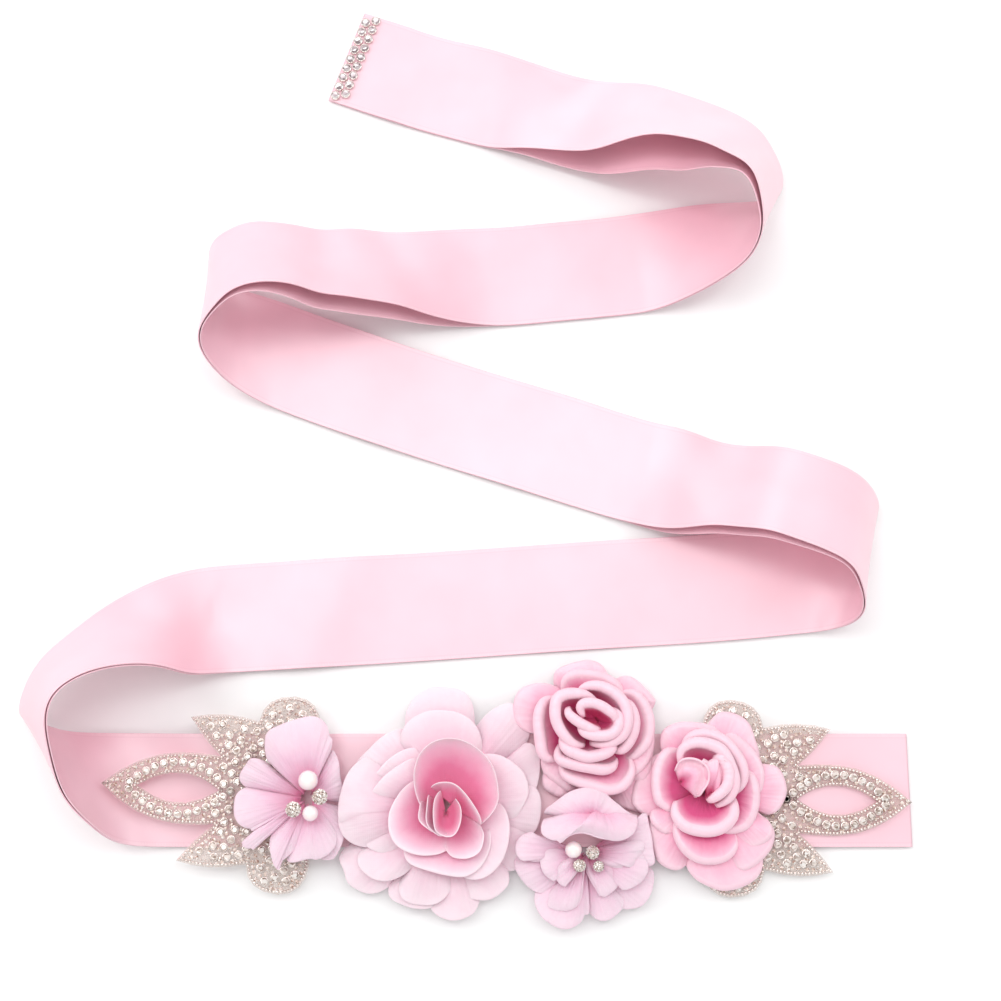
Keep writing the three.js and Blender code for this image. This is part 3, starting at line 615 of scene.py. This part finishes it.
SATIN_ROSE_RIGHT = [
    ((87.7, -128.2, 5), 0.6, 1.2, 1.3, [
        [(72.8, -113.4, 6), (66.5, -119.5, 6.6), (62.2, -126.2, 7), (61.4, -132.9, 7), (64.8, -136.9, 6.6),
         (70.2, -139.6, 6)],
    ]),
    ((87.5, -128.2, 6.2), 0.6, 1.2, 1.56, [
        [(88.8, -103.5, 7), (93.6, -100.8, 7.6), (99.7, -101.7, 8), (104.4, -105.3, 8),
         (106.7, -112.1, 7.6), (109, -118.8, 7)],
        [(109, -118.1, 7), (113.6, -119.8, 7.8), (116.4, -125.2, 8), (116.4, -130.9, 7.8),
         (112, -138.2, 7)],
        [(66.4, -138.2, 7), (67.5, -146.1, 7.8), (69.7, -152.7, 8), (74.4, -155.9, 7.8), (79.9, -157.2, 7)],
        [(79.2, -157, 7), (84.4, -160.2, 7.6), (91.7, -163.1, 8), (99.1, -162.1, 8), (105.4, -158.6, 7.6),
         (109.8, -152.7, 7)],
    ]),
    ((87.5, -128.2, 6.4), 0.7, 1, 1.69, [
        [(70.4, -113.4, 9), (72.6, -107.7, 9.6), (78.1, -104.7, 10), (85.6, -104.7, 10), (91.8, -106, 9.6),
         (95.9, -110.1, 9)],
        [(93.2, -107.7, 9), (97.9, -108, 9.6), (103.2, -112.1, 10), (106.8, -116.8, 10),
         (108.7, -122.8, 9.6), (107.8, -131.5, 9)],
    ]),
    ((87.5, -128.2, 6.4), 0.65, 1.1, 1.69, [
        [(107.8, -136.2, 8), (111.9, -141.4, 8.6), (110.9, -148, 9), (106, -153.3, 9), (99.9, -156.5, 8.6),
         (94, -155.3, 8)],
    ]),
    ((87.5, -128.2, 6.4), 0.7, 1, 1.69, [
        [(111.6, -139.5, 9), (110.2, -144.7, 9.9), (105.3, -148.6, 9.9), (98.7, -149.3, 9)],
        [(66.6, -136.1, 9), (68.4, -140.7, 9.9), (71.7, -143.4, 9.9), (75.2, -144.4, 9)],
    ]),
    ((87.5, -128.2, 6.6), 0.85, 0.7, 1.82, [
        [(79.1, -113.1, 11), (73.6, -114.1, 11.6), (70, -118.8, 11.9), (68.7, -125.5, 12),
         (69.7, -132.1, 11.9), (72.7, -135.1, 11.6), (75.1, -137.4, 11)],
        [(101.4, -119.5, 11), (104.5, -123.5, 11.6), (105.8, -129.5, 11.9), (104.8, -136.1, 12),
         (101.5, -141.3, 11.9), (95.8, -143.2, 11.6), (90.5, -143.7, 11)],
    ]),
    ((87.5, -128.2, 6.6), 0.85, 0.8, 1.95, [
        [(74.8, -138.1, 11), (75.2, -144, 11.6), (78.1, -149.5, 12), (83.3, -153.1, 12.2),
         (89.3, -153.8, 12.2), (94.8, -152.1, 12), (98.7, -147.9, 11.6), (99, -144.6, 11)],
    ]),
    ((87.4, -128.2, 7), 0.95, 0.4, 1.82, [
        [(78.5, -114.2, 13), (81.2, -110.5, 13.5), (86.6, -109, 13.8), (93, -110.8, 14), (97.3, -114.8, 14),
         (100.1, -119.5, 13.8), (100.2, -124.8, 13.5), (97.3, -130.1, 13)],
    ]),
    ((87.4, -128.2, 7), 0.9, 0.75, 2.08, [
        [(74.9, -132.7, 14), (75.7, -137.3, 14.6), (79.2, -141.5, 15), (85.8, -143.1, 15.2),
         (91.9, -142, 15.2), (96.2, -137.9, 15), (96.8, -132.7, 14.6), (95.5, -130.4, 14)],
    ]),
    ((87.3, -128.2, 8), 1, 0.3, 1.82, [
        [(77.4, -118.8, 15.5), (78.8, -114.5, 15.9), (83.2, -112.2, 16.2), (88.5, -112.4, 16.4),
         (92.8, -114.5, 16.5), (95.5, -119.5, 16.4), (96.8, -125.5, 16.2), (95.1, -130.7, 15.9),
         (90.7, -134.7, 15.5)],
    ]),
    ((87.9, -124.8, 9), 1.05, 0.25, 1.69, [
        [(89.7, -116.2, 17), (92.3, -117.5, 17.5), (94.1, -121.5, 17.8), (93.6, -126.1, 17.8),
         (91.2, -130, 17.5), (87.2, -133.4, 17)],
    ]),
    ((88.1, -132.8, 11), 0.55, 1.5, 1.56, [
        [(84.9, -120.5, 17), (86.8, -117.7, 17.4), (90.1, -116.5, 17.6), (92.4, -118.2, 17.6),
         (93.1, -122.2, 17.4), (92.1, -126.8, 17)],
    ]),
    ((77.8, -125.8, 11), 0.5, 1.7, 1.56, [
        [(76, -121.2, 15.5), (79, -118.7, 16.2), (82.9, -118.9, 16.7), (85.7, -121.2, 17),
         (85.9, -124.8, 17.1), (84.7, -128.1, 16.9), (84, -131.4, 16.5)],
    ]),
]

CHIFFON_LEFT = [
    ((-53.7, -131.5, 7.8), 0.55, 1.2, 0.7, [
        [(-71.4, -116.9, 10), (-74.8, -117.6, 10.5), (-77.5, -121.1, 10.5), (-78.5, -124.5, 10),
         (-77.5, -127.7, 9)],
        [(-48.2, -119, 9), (-45.8, -114.2, 9.4), (-43.4, -117.6, 9.6), (-42.4, -123.2, 9.4),
         (-41.3, -128.7, 8.8), (-42, -132.8, 8)],
        [(-42.2, -134.2, 9), (-40, -139.7, 9.1), (-41.2, -146.5, 9.1), (-43.9, -151.9, 8.9),
         (-47.4, -152.9, 8.5), (-51, -152.6, 8)],
    ]),
    ((-53.6, -131.5, 8), 0.55, 1.3, 0.7, [
        [(-61.6, -154.5, 11), (-56.8, -153.2, 11.4), (-52.6, -152.3, 11.6), (-49.8, -152.5, 11.5),
         (-45.8, -150.4, 11.2), (-43.1, -146.4, 10.7), (-42.7, -139.6, 10)],
        [(-78.7, -126.9, 11), (-79.7, -131.4, 11.6), (-79.5, -136.8, 11.9), (-77.2, -140.6, 12),
         (-73.3, -142.4, 11.9), (-69.6, -140.9, 11.6), (-66.7, -137.9, 11)],
        [(-67.4, -144.3, 12), (-66.5, -149.7, 12.1), (-65.3, -154.1, 12.1), (-63.3, -155.9, 11.9),
         (-61.6, -153.1, 11.5), (-55.6, -147, 11)],
    ]),
    ((-53.6, -131.5, 8.2), 0.55, 1.3, 0.7, [
        [(-66.9, -137.9, 12), (-72.2, -142.2, 12.6), (-76.5, -146.9, 13), (-73.4, -149.1, 13),
         (-69.9, -147.6, 12.6), (-66.6, -145, 12)],
    ]),
    ((-53.6, -131.5, 8.2), 0.55, 1.4, 0.8, [
        [(-70.5, -116.6, 13), (-69.1, -108.7, 13.5), (-63.7, -105.4, 13.9), (-57.1, -103.4, 14),
         (-51.5, -102.8, 14), (-47.2, -105.4, 13.8), (-45.4, -110.1, 13.4), (-45.7, -114.2, 12.8),
         (-48.2, -119.7, 12)],
    ]),
]

CHIFFON_RIGHT = [
    ((45, -150.3, 4), 0.6, 1.3, 0.7, [
        [(19.8, -149.5, 6), (19.4, -154.7, 6.6), (21.8, -159.3, 7), (24.4, -162.5, 7), (28.8, -164.5, 6.6),
         (33.2, -162.6, 6)],
        [(25.1, -163.3, 6), (26.8, -169.1, 6.6), (30.4, -173.6, 6.9), (37.1, -176.3, 7),
         (43.2, -174.2, 6.9), (45.6, -169.1, 6.6), (45.1, -162, 6)],
        [(45, -171.8, 5), (50, -173.6, 5.8), (54.7, -172.4, 6), (58.2, -168.5, 5.8), (57.6, -162.7, 5)],
        [(54.8, -169.2, 5), (58.8, -170.1, 5.6), (64.2, -168.8, 6), (68, -163.3, 6), (68.9, -156.7, 5.6),
         (66, -153.5, 5)],
    ]),
    ((45, -150.3, 4), 0.6, 1.2, 0.7, [
        [(61.8, -138.1, 9), (66.2, -136.1, 9.4), (67.7, -142.1, 9.6), (68.3, -148, 9.4),
         (68.9, -153.9, 8.8), (65.6, -155.9, 8)],
    ]),
    ((45, -150.2, 4.5), 0.6, 1.3, 0.7, [
        [(28.9, -146.7, 9), (28.1, -151.9, 9.8), (29.4, -157.1, 10), (33.5, -160, 9.8), (36.5, -157.8, 9)],
    ]),
    ((45, -150.2, 4.5), 0.6, 1.2, 0.7, [
        [(29.9, -148, 9), (27.8, -143.7, 9.7), (24.5, -142.7, 10.1), (20.7, -144.7, 10.2),
         (19.4, -148.6, 10.1), (21.7, -152.6, 9.7), (27.8, -153.9, 9)],
    ]),
    ((45, -150.2, 4.5), 0.6, 1.3, 0.7, [
        [(30.5, -164.4, 8), (31.1, -168.9, 8.6), (36.4, -170.1, 9), (41.8, -168.2, 9), (43.9, -161.7, 8.6),
         (42.7, -155.9, 8)],
        [(44, -155.9, 8), (46.6, -161.7, 8.6), (50.5, -165.6, 9), (55.3, -162.4, 9), (56.8, -157.2, 8.6),
         (54.2, -152.7, 8)],
        [(54.6, -161.7, 9), (58.6, -163, 9.6), (64, -160.3, 10), (66.8, -155.1, 10), (64.2, -149.3, 9.6),
         (58.9, -146.7, 9)],
    ]),
    ((44.9, -150.2, 5), 0.6, 1.3, 0.7, [
        [(52, -155.1, 10), (57.3, -155.7, 10.8), (62, -153.8, 11), (65.5, -148.6, 10.8),
         (64.3, -143.4, 10)],
        [(37.9, -151.2, 10), (34.5, -154.4, 10.8), (33.7, -159.6, 11), (37.8, -161.6, 10.8),
         (41.2, -157.1, 10)],
    ]),
    ((49.8, -133.6, 6), 0.35, 1.6, 0.7, [
        [(27.1, -139.3, 13), (28.4, -143.5, 14.5), (32, -145.9, 15.5), (35.6, -146.2, 16.2),
         (39, -143.9, 16.5), (43.7, -143.2, 16.4), (49.7, -145.1, 15.9), (55.7, -145.8, 15),
         (61.2, -143.2, 13.7), (64.5, -137.7, 12)],
    ]),
    ((46.4, -140.2, 6), 0.3, 1.5, 0.7, [
        [(27.8, -136.1, 11), (32.6, -132.8, 11.9), (40, -128.5, 12.4), (49.5, -127.3, 12.5),
         (54.2, -131.4, 12.1), (60.3, -136.1, 11.3), (65.1, -137.4, 10)],
    ]),
]


def smooth_line(points, count):
    """A Catmull-Rom curve through the points, with count points evenly spaced by length."""
    points = np.array(points, float)
    ends = np.vstack([2 * points[0] - points[1], points, 2 * points[-1] - points[-2]])
    t = np.linspace(0, 1, 12, endpoint=False)[None, :, None]
    a, b, c, d = (ends[k:len(ends) - 3 + k, None] for k in range(4))
    line = 0.5 * (2 * b + (c - a) * t + (2 * a - 5 * b + 4 * c - d) * t**2 + (3 * b - a - 3 * c + d) * t**3)
    line = np.vstack([line.reshape(-1, 3), points[-1]])
    at = np.concatenate([[0], np.cumsum(np.linalg.norm(np.diff(line, axis=0), axis=1))])
    even = np.linspace(0, at[-1], count)
    return np.stack([np.interp(even, at, column) for column in line.T], -1)


HEEL = 0.12  # share of the way to the rim at which a petal's cloth starts
TUCK = 2.0  # how far down the ends of a rim are tucked
UPRIGHT = 0.8  # petals whose belly is at least this far out stand in the heart, and keep their painted shade further up


def petal(rim, foot, belly, rise, radius, crown, creases, roll_angle, draw, columns=41, rows=15, rolled=8):
    """One petal: a quadratic curve from the foot to each point of the rim, with its middle
    columns lifted by the crown, soft creases along it, and the rim rolled out and down. creases are
    their depth and how close together they run."""
    rim, foot = smooth_line(rim, columns), np.array(foot, float)
    v = np.linspace(-1, 1, columns)
    line = np.gradient(rim, axis=0)
    line /= np.linalg.norm(line, axis=1, keepdims=True)
    away = np.stack([-line[:, 1], line[:, 0], np.zeros(columns)], -1)
    away /= np.linalg.norm(away, axis=1, keepdims=True)
    away *= np.sign(np.sum(away[:, :2] * (rim - foot)[:, :2])) or 1
    tuck = (v**8)[:, None]
    radii = radius * (1 - 0.75 * v**4)
    rim = rim - away * radii[:, None] + tuck * ((foot - rim) * [HEEL, HEEL, 0] - [0, 0, TUCK])
    start = foot + HEEL * (rim - foot) * [1, 1, 0]
    middle = foot + (rim - foot) * [belly, belly, rise]
    middle[:, 2] += crown * (1 - v**2)
    t = (1 - (1 - np.linspace(0, 1, rows)) ** 1.4)[:, None, None]
    wall = (1 - t) ** 2 * start + 2 * t * (1 - t) * middle + t**2 * rim
    ahead = rim - middle
    ahead /= np.linalg.norm(ahead, axis=1, keepdims=True)
    back = np.cross(line, ahead)
    back /= np.linalg.norm(back, axis=1, keepdims=True)
    back *= np.sign(np.sum(back * (away - [0, 0, 1]), axis=1, keepdims=True))
    a = np.radians(np.linspace(0, roll_angle, rolled + 1)[1:])[:, None, None]
    edge = rim + radii[:, None] * (ahead * np.sin(a) + back * (1 - np.cos(a)))
    points = np.concatenate([wall, edge])
    share = np.concatenate([t[:, 0, 0], np.ones(rolled)])[:, None]
    # How far up the petal the cloth is out of the painted shade at its base; the rolled rim is wholly out of
    # it.
    out_of_shade = 0.93 * share ** (0.45 if belly < UPRIGHT else 1.3)
    phase = draw.uniform(0, 6.28, 3)
    depth, pace = creases
    waves = (np.sin(pace * v * 3.1 + phase[0]) + 0.6 * np.sin(pace * v * 5.3 + phase[1] + 1.5 * share)
             + 0.4 * np.sin(7 * share + phase[2] + 2 * v))
    points -= back * (depth * share**1.5 * waves)[..., None]
    uv = np.stack([np.broadcast_to(0.5 + 0.5 * v, share.shape[:1] + (columns,)),
                   np.broadcast_to(np.where(share < 1, out_of_shade, 1), (len(share), columns))], -1)
    points[..., 2] = np.maximum(points[..., 2], SEWN_AT)
    return points.reshape(-1, 3), grid_quads(len(share), columns), uv.reshape(-1, 2)


def flower(name, tiers, layers, bud, material, crown, creases, roll_angle, seed, thick=0.3):
    """A flower's petals as one piece, in place of its CAD layers and bud."""
    draw = np.random.default_rng(seed)
    petals = [petal(rim, *shape, crown, creases, roll_angle, draw) for *shape, rims in tiers for rim in rims]
    piece = make_piece(name, petals, material, thick=thick)
    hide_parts(*[f"{name}_layer_{k}" for k in range(1, layers + 1)], *[f"{name}_bud"] * bud)


flower("chiffon_rose", CHIFFON_ROSE, 4, True, ORGANZA, crown=1.5,
       creases=(0.35, 1.0), roll_angle=50, seed=2)
flower("satin_rose_top", SATIN_ROSE_TOP, 3, True, ROSE_SATIN, crown=1.0,
       creases=(0.3, 1.0), roll_angle=190, seed=3, thick=0.6)
flower("satin_rose_right", SATIN_ROSE_RIGHT, 3, True, ROSE_SATIN, crown=1.0,
       creases=(0.3, 1.0), roll_angle=190, seed=4, thick=0.6)
flower("chiffon_flower_left", CHIFFON_LEFT, 2, False, CHIFFON, crown=2.0,
       creases=(0.35, 1.3), roll_angle=60, seed=5)
flower("chiffon_flower_right", CHIFFON_RIGHT, 2, False, CHIFFON, crown=1.5,
       creases=(0.4, 1.3), roll_angle=60, seed=6)


# ---- Beads and stones ----


def lathe(profile, around):
    """A profile of (radius, height) turned round Z from the bottom up, with both ends closed by
    quads that fan out from one point; around is even."""
    profile = np.array(profile, float)
    turn = np.linspace(0, 2 * np.pi, around, endpoint=False)
    points = np.stack([profile[:, :1] * np.cos(turn), profile[:, :1] * np.sin(turn),
                       np.broadcast_to(profile[:, 1:], (len(profile), around))], -1)
    fan = np.array([[0, k, k + 1, k + 2] for k in range(1, around - 1, 2)])
    faces = [grid_quads(len(profile), around, closed=True), fan[:, ::-1], fan + (len(profile) - 1) * around]
    return points.reshape(-1, 3), np.concatenate(faces)


def ball(radius, around, rings):
    """A sphere turned round Z, with a tiny flat at each pole."""
    polar = np.linspace(0.15, np.pi - 0.15, rings)
    return lathe(np.column_stack([radius * np.sin(polar), -radius * np.cos(polar)]), around)


def cut_gem(radius):
    """A round cut stone: a flat table, a sloping crown of facets and a short girdle."""
    return lathe([[0.3 * radius, 0], [radius, 0.15 * radius], [radius, 0.4 * radius],
                  [0.6 * radius, 0.82 * radius]], 8)


def cup(radius):
    """A silver cup under a stone, with a rim round its girdle."""
    return lathe([[0.4 * radius, -0.3 * radius], [0.8 * radius, -0.3 * radius], [1.16 * radius, 0.1 * radius],
                  [1.16 * radius, 0.5 * radius], [0.96 * radius, 0.5 * radius]], 10)


def claws(radius, count=4):
    """Small round claws that hold a stone at its girdle."""
    turn = np.linspace(0, 2 * np.pi, count, endpoint=False) + math.pi / 4
    places = np.stack([np.cos(turn) * radius, np.sin(turn) * radius, np.full(count, 0.55 * radius)], -1)
    return copies(*ball(0.22 * radius, 6, 4), places)


def round_line(line, pitch):
    """Points at an even pitch round a closed outline."""
    line = np.vstack([line, line[:1]])
    steps = np.concatenate([[0], np.cumsum(np.linalg.norm(np.diff(line, axis=0), axis=1))])
    at = np.linspace(0, steps[-1], max(2, round(steps[-1] / pitch) + 1))
    return np.stack([np.interp(at, steps, column) for column in line.T], -1)


# Spray outline: the tip, then the control point and end of each curve of the half on the left.
SPRAY = [[57.5, 0], [45, 11.5, 31, 12.4], [22, 12.8, 16.5, 11.8], [23, 17, 28.7, 25.1], [17, 28.5, 4.3, 25],
         [3.5, 34.5, -7.9, 34.8], [-17, 34.5, -18, 24], [-16, 12, -12, 0]]
EYE = (16, 45, 5.2)


def quadratic(start, control, end, count):
    t = np.linspace(0, 1, count)[:, None]
    return (1 - t) ** 2 * np.array(start) + 2 * t * (1 - t) * np.array(control) + t**2 * np.array(end)


def spray_outline():
    """The whole outline, its left half mirrored to the right."""
    at, lines = SPRAY[0], []
    for cx, cy, x, y in SPRAY[1:]:
        lines.append(quadratic(at, (cx, cy), (x, y), 12)[:-1])
        at = (x, y)
    half = np.concatenate([*lines, [at]])
    return np.concatenate([half, half[1:-1][::-1] * [1, -1]])


def eye_outline(grow):
    """The open eye in the long leaf."""
    low, high, half = EYE[0] - grow, EYE[1] + grow, EYE[2] + grow
    middle = (low + high) / 2
    top = quadratic((low, 0), (middle, 2 * half), (high, 0), 16)
    return np.concatenate([top, top[1:-1][::-1] * [1, -1]])


def inset(line, amount):
    """A closed outline moved in by amount along its own normals."""
    tangent = np.roll(line, -1, axis=0) - np.roll(line, 1, axis=0)
    tangent /= np.linalg.norm(tangent, axis=1, keepdims=True)
    return line + np.stack([-tangent[:, 1], tangent[:, 0]], -1) * amount


def inside(points, outline):
    """Which points lie inside a closed outline: an odd number of its sides cross the ray along +X."""
    a, b = outline[None], np.roll(outline, -1, axis=0)[None]
    p = points[:, None]
    crosses = (a[..., 1] > p[..., 1]) != (b[..., 1] > p[..., 1])
    height = np.where(crosses, b[..., 1] - a[..., 1], 1)
    where = a[..., 0] + (p[..., 1] - a[..., 1]) / height * (b[..., 0] - a[..., 0])
    return (crosses & (p[..., 0] < where)).sum(1) % 2 == 1


def clearance(points, line):
    return np.linalg.norm(points[:, None] - line[None], axis=-1).min(1)


def scattered(candidates, placed, gap):
    """Candidates in order, each kept if it clears those kept before it."""
    kept = list(placed)
    fresh = []
    for point in candidates:
        if not kept or np.min(np.hypot(*(np.array(kept) - point).T)) > gap:
            kept.append(point)
            fresh.append(point)
    return np.array(fresh)


SPRAYS = {  # middle, height, heading and rise of each spray
    "left": ((-70, -129.5, 4.6), 176.4, 6.0),
    "right": ((104.8, -131.3, 2.6), -1.5, 0.0),
}
NET_THICK = 1.0
EDGE_BEAD = 0.62
SECOND_BEAD = 0.4
STONE_RADIUS = 1.35
SEED_RADIUS = 0.8
NET_REACH = [-18, -35], [57, 35]  # corners of the box that the beads are scattered in
SCATTERED = 5000  # places tried
LEAF = 17, 13  # the long leaf is further out than the first and no wider than the second


def spray(side, seed):
    """Rows of silver beads round the leaves, a row of set stones in the long leaf and scattered
    stones in the others, and seed beads over the rest of the net."""
    middle, heading, rise = SPRAYS[side]
    outline, eye = spray_outline(), eye_outline(0)
    edge = round_line(inset(outline, 1.0), 2.05 * EDGE_BEAD)
    second = round_line(inset(outline, 2.3), 2.4 * EDGE_BEAD)
    rim = round_line(eye_outline(0.7), 2.05 * EDGE_BEAD)
    row = round_line(eye_outline(3.9), 2.5 * STONE_RADIUS)
    row = row[(row[:, 0] > 12) & inside(row, outline)]
    spots = np.random.default_rng(seed).uniform(*NET_REACH, (SCATTERED, 2))
    keep = inside(spots, outline) & ~inside(spots, eye_outline(1.6)) & (clearance(spots, outline) > 1.7)
    spots = spots[keep]
    deep = spots[clearance(spots, outline) > 3.4]
    deep = deep[(deep[:, 0] < LEAF[0]) | (np.abs(deep[:, 1]) > LEAF[1])]
    stones = np.vstack([row, scattered(deep, row, 2.45 * STONE_RADIUS)])
    bare = spots[clearance(spots, stones) > STONE_RADIUS + 0.75 * SEED_RADIUS]
    seeds = scattered(bare, [], 1.95 * SEED_RADIUS)

    turn, tip = math.radians(heading), math.radians(rise)
    # The spray's own axes: out along it and tipped up by its rise, across, and up from the net.
    axes = np.array([[math.cos(turn) * math.cos(tip), math.sin(turn) * math.cos(tip), math.sin(tip)],
                     [-math.sin(turn), math.cos(turn), 0],
                     [-math.cos(turn) * math.sin(tip), -math.sin(turn) * math.sin(tip), math.cos(tip)]])

    def placed(shape, places, height):
        """The shape at each of the places on the net, in the sash's axes."""
        spots_3d = np.column_stack([places, np.full(len(places), NET_THICK + height)])
        points, faces = copies(*shape, spots_3d)
        return points @ axes + middle, faces, None

    bead = ball(EDGE_BEAD, 6, 5)
    rows = [placed(bead, edge, 0.5), placed(bead, rim, 0.5), placed(ball(SECOND_BEAD, 6, 4), second, 0.35)]
    beading = make_piece(f"spray_{side}_edging", rows, SILVER)
    cups = make_piece(f"spray_{side}_cups", [placed(cup(STONE_RADIUS), stones, 0.4)], SILVER)
    gems = make_piece(f"spray_{side}_stones", [placed(cut_gem(STONE_RADIUS), stones, 0.5)], STONE,
                      smooth=False, facets=seed)
    sprinkle = make_piece(f"spray_{side}_seed_beads", [placed(ball(SEED_RADIUS, 6, 4), seeds, 0.3)], SEED,
                          smooth=False, facets=seed + 1)
    for made in (beading, cups, gems, sprinkle):
        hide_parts(f"spray_{side}_beading")
    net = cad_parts[f"spray_{side}_net"].data
    net.materials.clear()
    net.materials.append(NET)


spray("left", 101)
spray("right", 202)


def end_stones():
    """Two staggered rows of nine claw-set stones along the plain end."""
    count, pitch, radius, sunk = 9, 4.2, 1.6, 0.5
    x, y, _, yaw, _, _ = STRETCHES[0][0]
    heading = math.radians(yaw)
    along = np.array([math.cos(heading), math.sin(heading)])
    inward = np.array([math.sin(heading), -math.cos(heading)])
    end = np.array([x, y], float)
    for row, (depth, shift) in {"outer": (2.1, -1.05), "inner": (5.7, 1.05)}.items():
        steps = (np.arange(count) - (count - 1) / 2) * pitch + shift
        height = np.full(count, SEWN_AT - sunk)
        places = np.column_stack([end + inward * depth + steps[:, None] * along, height])
        metal = [copies(*cup(radius), places) + (None,), copies(*claws(radius), places) + (None,)]
        cups = make_piece(f"end_cups_{row}", metal, SILVER)
        cut = [copies(*cut_gem(radius), places + [0, 0, 0.2]) + (None,)]
        gems = make_piece(f"end_stones_{row}", cut, SMOKY, smooth=False, facets=len(row) + 7)
        for made in (cups, gems):
            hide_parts(f"stone_row_{row}")


end_stones()

# Beads in the chiffon flowers: place from the flower's middle, and radius.
CENTRES = {
    "chiffon_flower_left": ((-53, -131, 6.5), {
        "pearl_large": (0, 6, 3.5), "pearl_small": (1, -5.3, 2.8), "stone_a": (4.2, 0.3, 2.85),
        "stone_b": (-5, -4, 2.85)}),
    "chiffon_flower_right": ((43.6, -151.6, 2.6), {
        "pearl_large": (-3.5, 2.8, 3), "stone_a": (-1.4, -2.7, 2.3), "stone_b": (3.2, 1.8, 2.5),
        "stone_small": (5.3, -3, 2)}),
}
BEAD_HEIGHT = 6.6
SET_IN_BALL = 46  # small stones all over a crystal ball
GOLDEN_ANGLE = 2.4


def flower_centres():
    """Smooth pearls, and crystal balls set all over with small cut stones."""
    for name, ((x, y, z), beads) in CENTRES.items():
        for bead, (dx, dy, radius) in beads.items():
            place = np.array([[x + dx, y + dy, z + BEAD_HEIGHT + radius]])
            node_name = f"{name}_{bead}"
            if bead.startswith("pearl"):
                parts = [copies(*ball(radius, 32, 22), place) + (None,)]
                made = make_piece(f"{node_name}_bead", parts, PEARL)
            else:
                k = np.arange(SET_IN_BALL)
                turn, up = k * GOLDEN_ANGLE, 1 - (2 * k + 1) / SET_IN_BALL
                out = np.sqrt(1 - up**2)
                set_at = 0.78 * radius * np.column_stack([out * np.cos(turn), out * np.sin(turn), up])
                parts = [copies(*ball(0.8 * radius, 12, 8), place) + (None,),
                         copies(*ball(0.26 * radius, 6, 4), place + set_at) + (None,)]
                made = make_piece(f"{node_name}_crystal", parts, STONE, smooth=False,
                                  facets=int(10 * radius) + len(name))
            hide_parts(node_name)


flower_centres()


# ---- Floor, light and camera ----


FLOOR_HALF = 4.0
PAPER = (0.93, 0.93, 0.93, 1)
SURROUND = 0.56
# Soft lights in metres and watts: name, place, aim, size and power.
LIGHTS = [
    ("overhead", (-0.1, 0.3, 1.25), (0, 0, 0), (1.1, 1.1), 4.4),
    ("strip_left", (-0.5, 0.35, 1.15), (0, 0, 0), (0.16, 1.0), 2.5),
    ("strip_right", (0.5, 0.35, 1.15), (0, 0, 0), (0.16, 1.0), 2.3),
    ("left", (-1.0, 0.2, 0.6), (0, 0, 0), (0.6, 0.6), 3.0),
    ("right", (1.0, 0.1, 0.6), (0, 0, 0), (0.6, 0.6), 2.0),
    ("far", (-0.15, 1.1, 0.4), (0, 0.05, 0), (1.2, 0.4), 3.0),
    ("near", (0, -1.1, 0.7), (0, -0.05, 0), (0.8, 0.8), 2.0),
]


def studio():
    """A near-white floor, an even white surround, and the soft lights, each turned to face its aim."""
    mesh = bpy.data.meshes.new("floor")
    corners = [(x * FLOOR_HALF, y * FLOOR_HALF, 0) for x, y in ((-1, -1), (1, -1), (1, 1), (-1, 1))]
    mesh.from_pydata(corners, [], [(0, 1, 2, 3)])
    floor = bpy.data.objects.new("floor", mesh)
    bpy.context.scene.collection.objects.link(floor)
    paper, _, _ = new_material("floor_paper", Base_Color=PAPER, Roughness=0.9, Specular_IOR_Level=0.1)
    mesh.materials.append(paper)
    world = bpy.data.worlds.new("surround")
    world.use_nodes = True
    background = world.node_tree.nodes["Background"]
    background.inputs["Color"].default_value = (1, 1, 1, 1)
    background.inputs["Strength"].default_value = SURROUND
    bpy.context.scene.world = world
    for name, place, aim, size, power in LIGHTS:
        light = bpy.data.lights.new(name, "AREA")
        light.shape = "RECTANGLE"
        light.size, light.size_y = size
        light.energy = power
        lamp = bpy.data.objects.new(name, light)
        way = np.array(aim) - np.array(place)
        lamp.location = place
        tilt = math.atan2(math.hypot(way[0], way[1]), -way[2])
        lamp.rotation_euler = (tilt, 0, math.atan2(-way[0], way[1]))
        bpy.context.scene.collection.objects.link(lamp)


EYE_AT = np.array([14.5, -121.7, 514.0])  # where the camera stands
LOOK_UP = 11  # degrees that it looks off straight down, towards the plain end


def camera():
    """Above the flowers, looking down and a little towards the plain end."""
    lens = bpy.data.cameras.new("camera")
    lens.lens = 50
    lens.sensor_width = 36
    eye = bpy.data.objects.new("camera", lens)
    eye.location = (EYE_AT - MIDDLE) * MM
    eye.rotation_euler = (math.radians(LOOK_UP), 0, 0)
    bpy.context.scene.collection.objects.link(eye)
    bpy.context.scene.camera = eye


studio()
camera()
bpy.context.scene.view_settings.view_transform = "Standard"
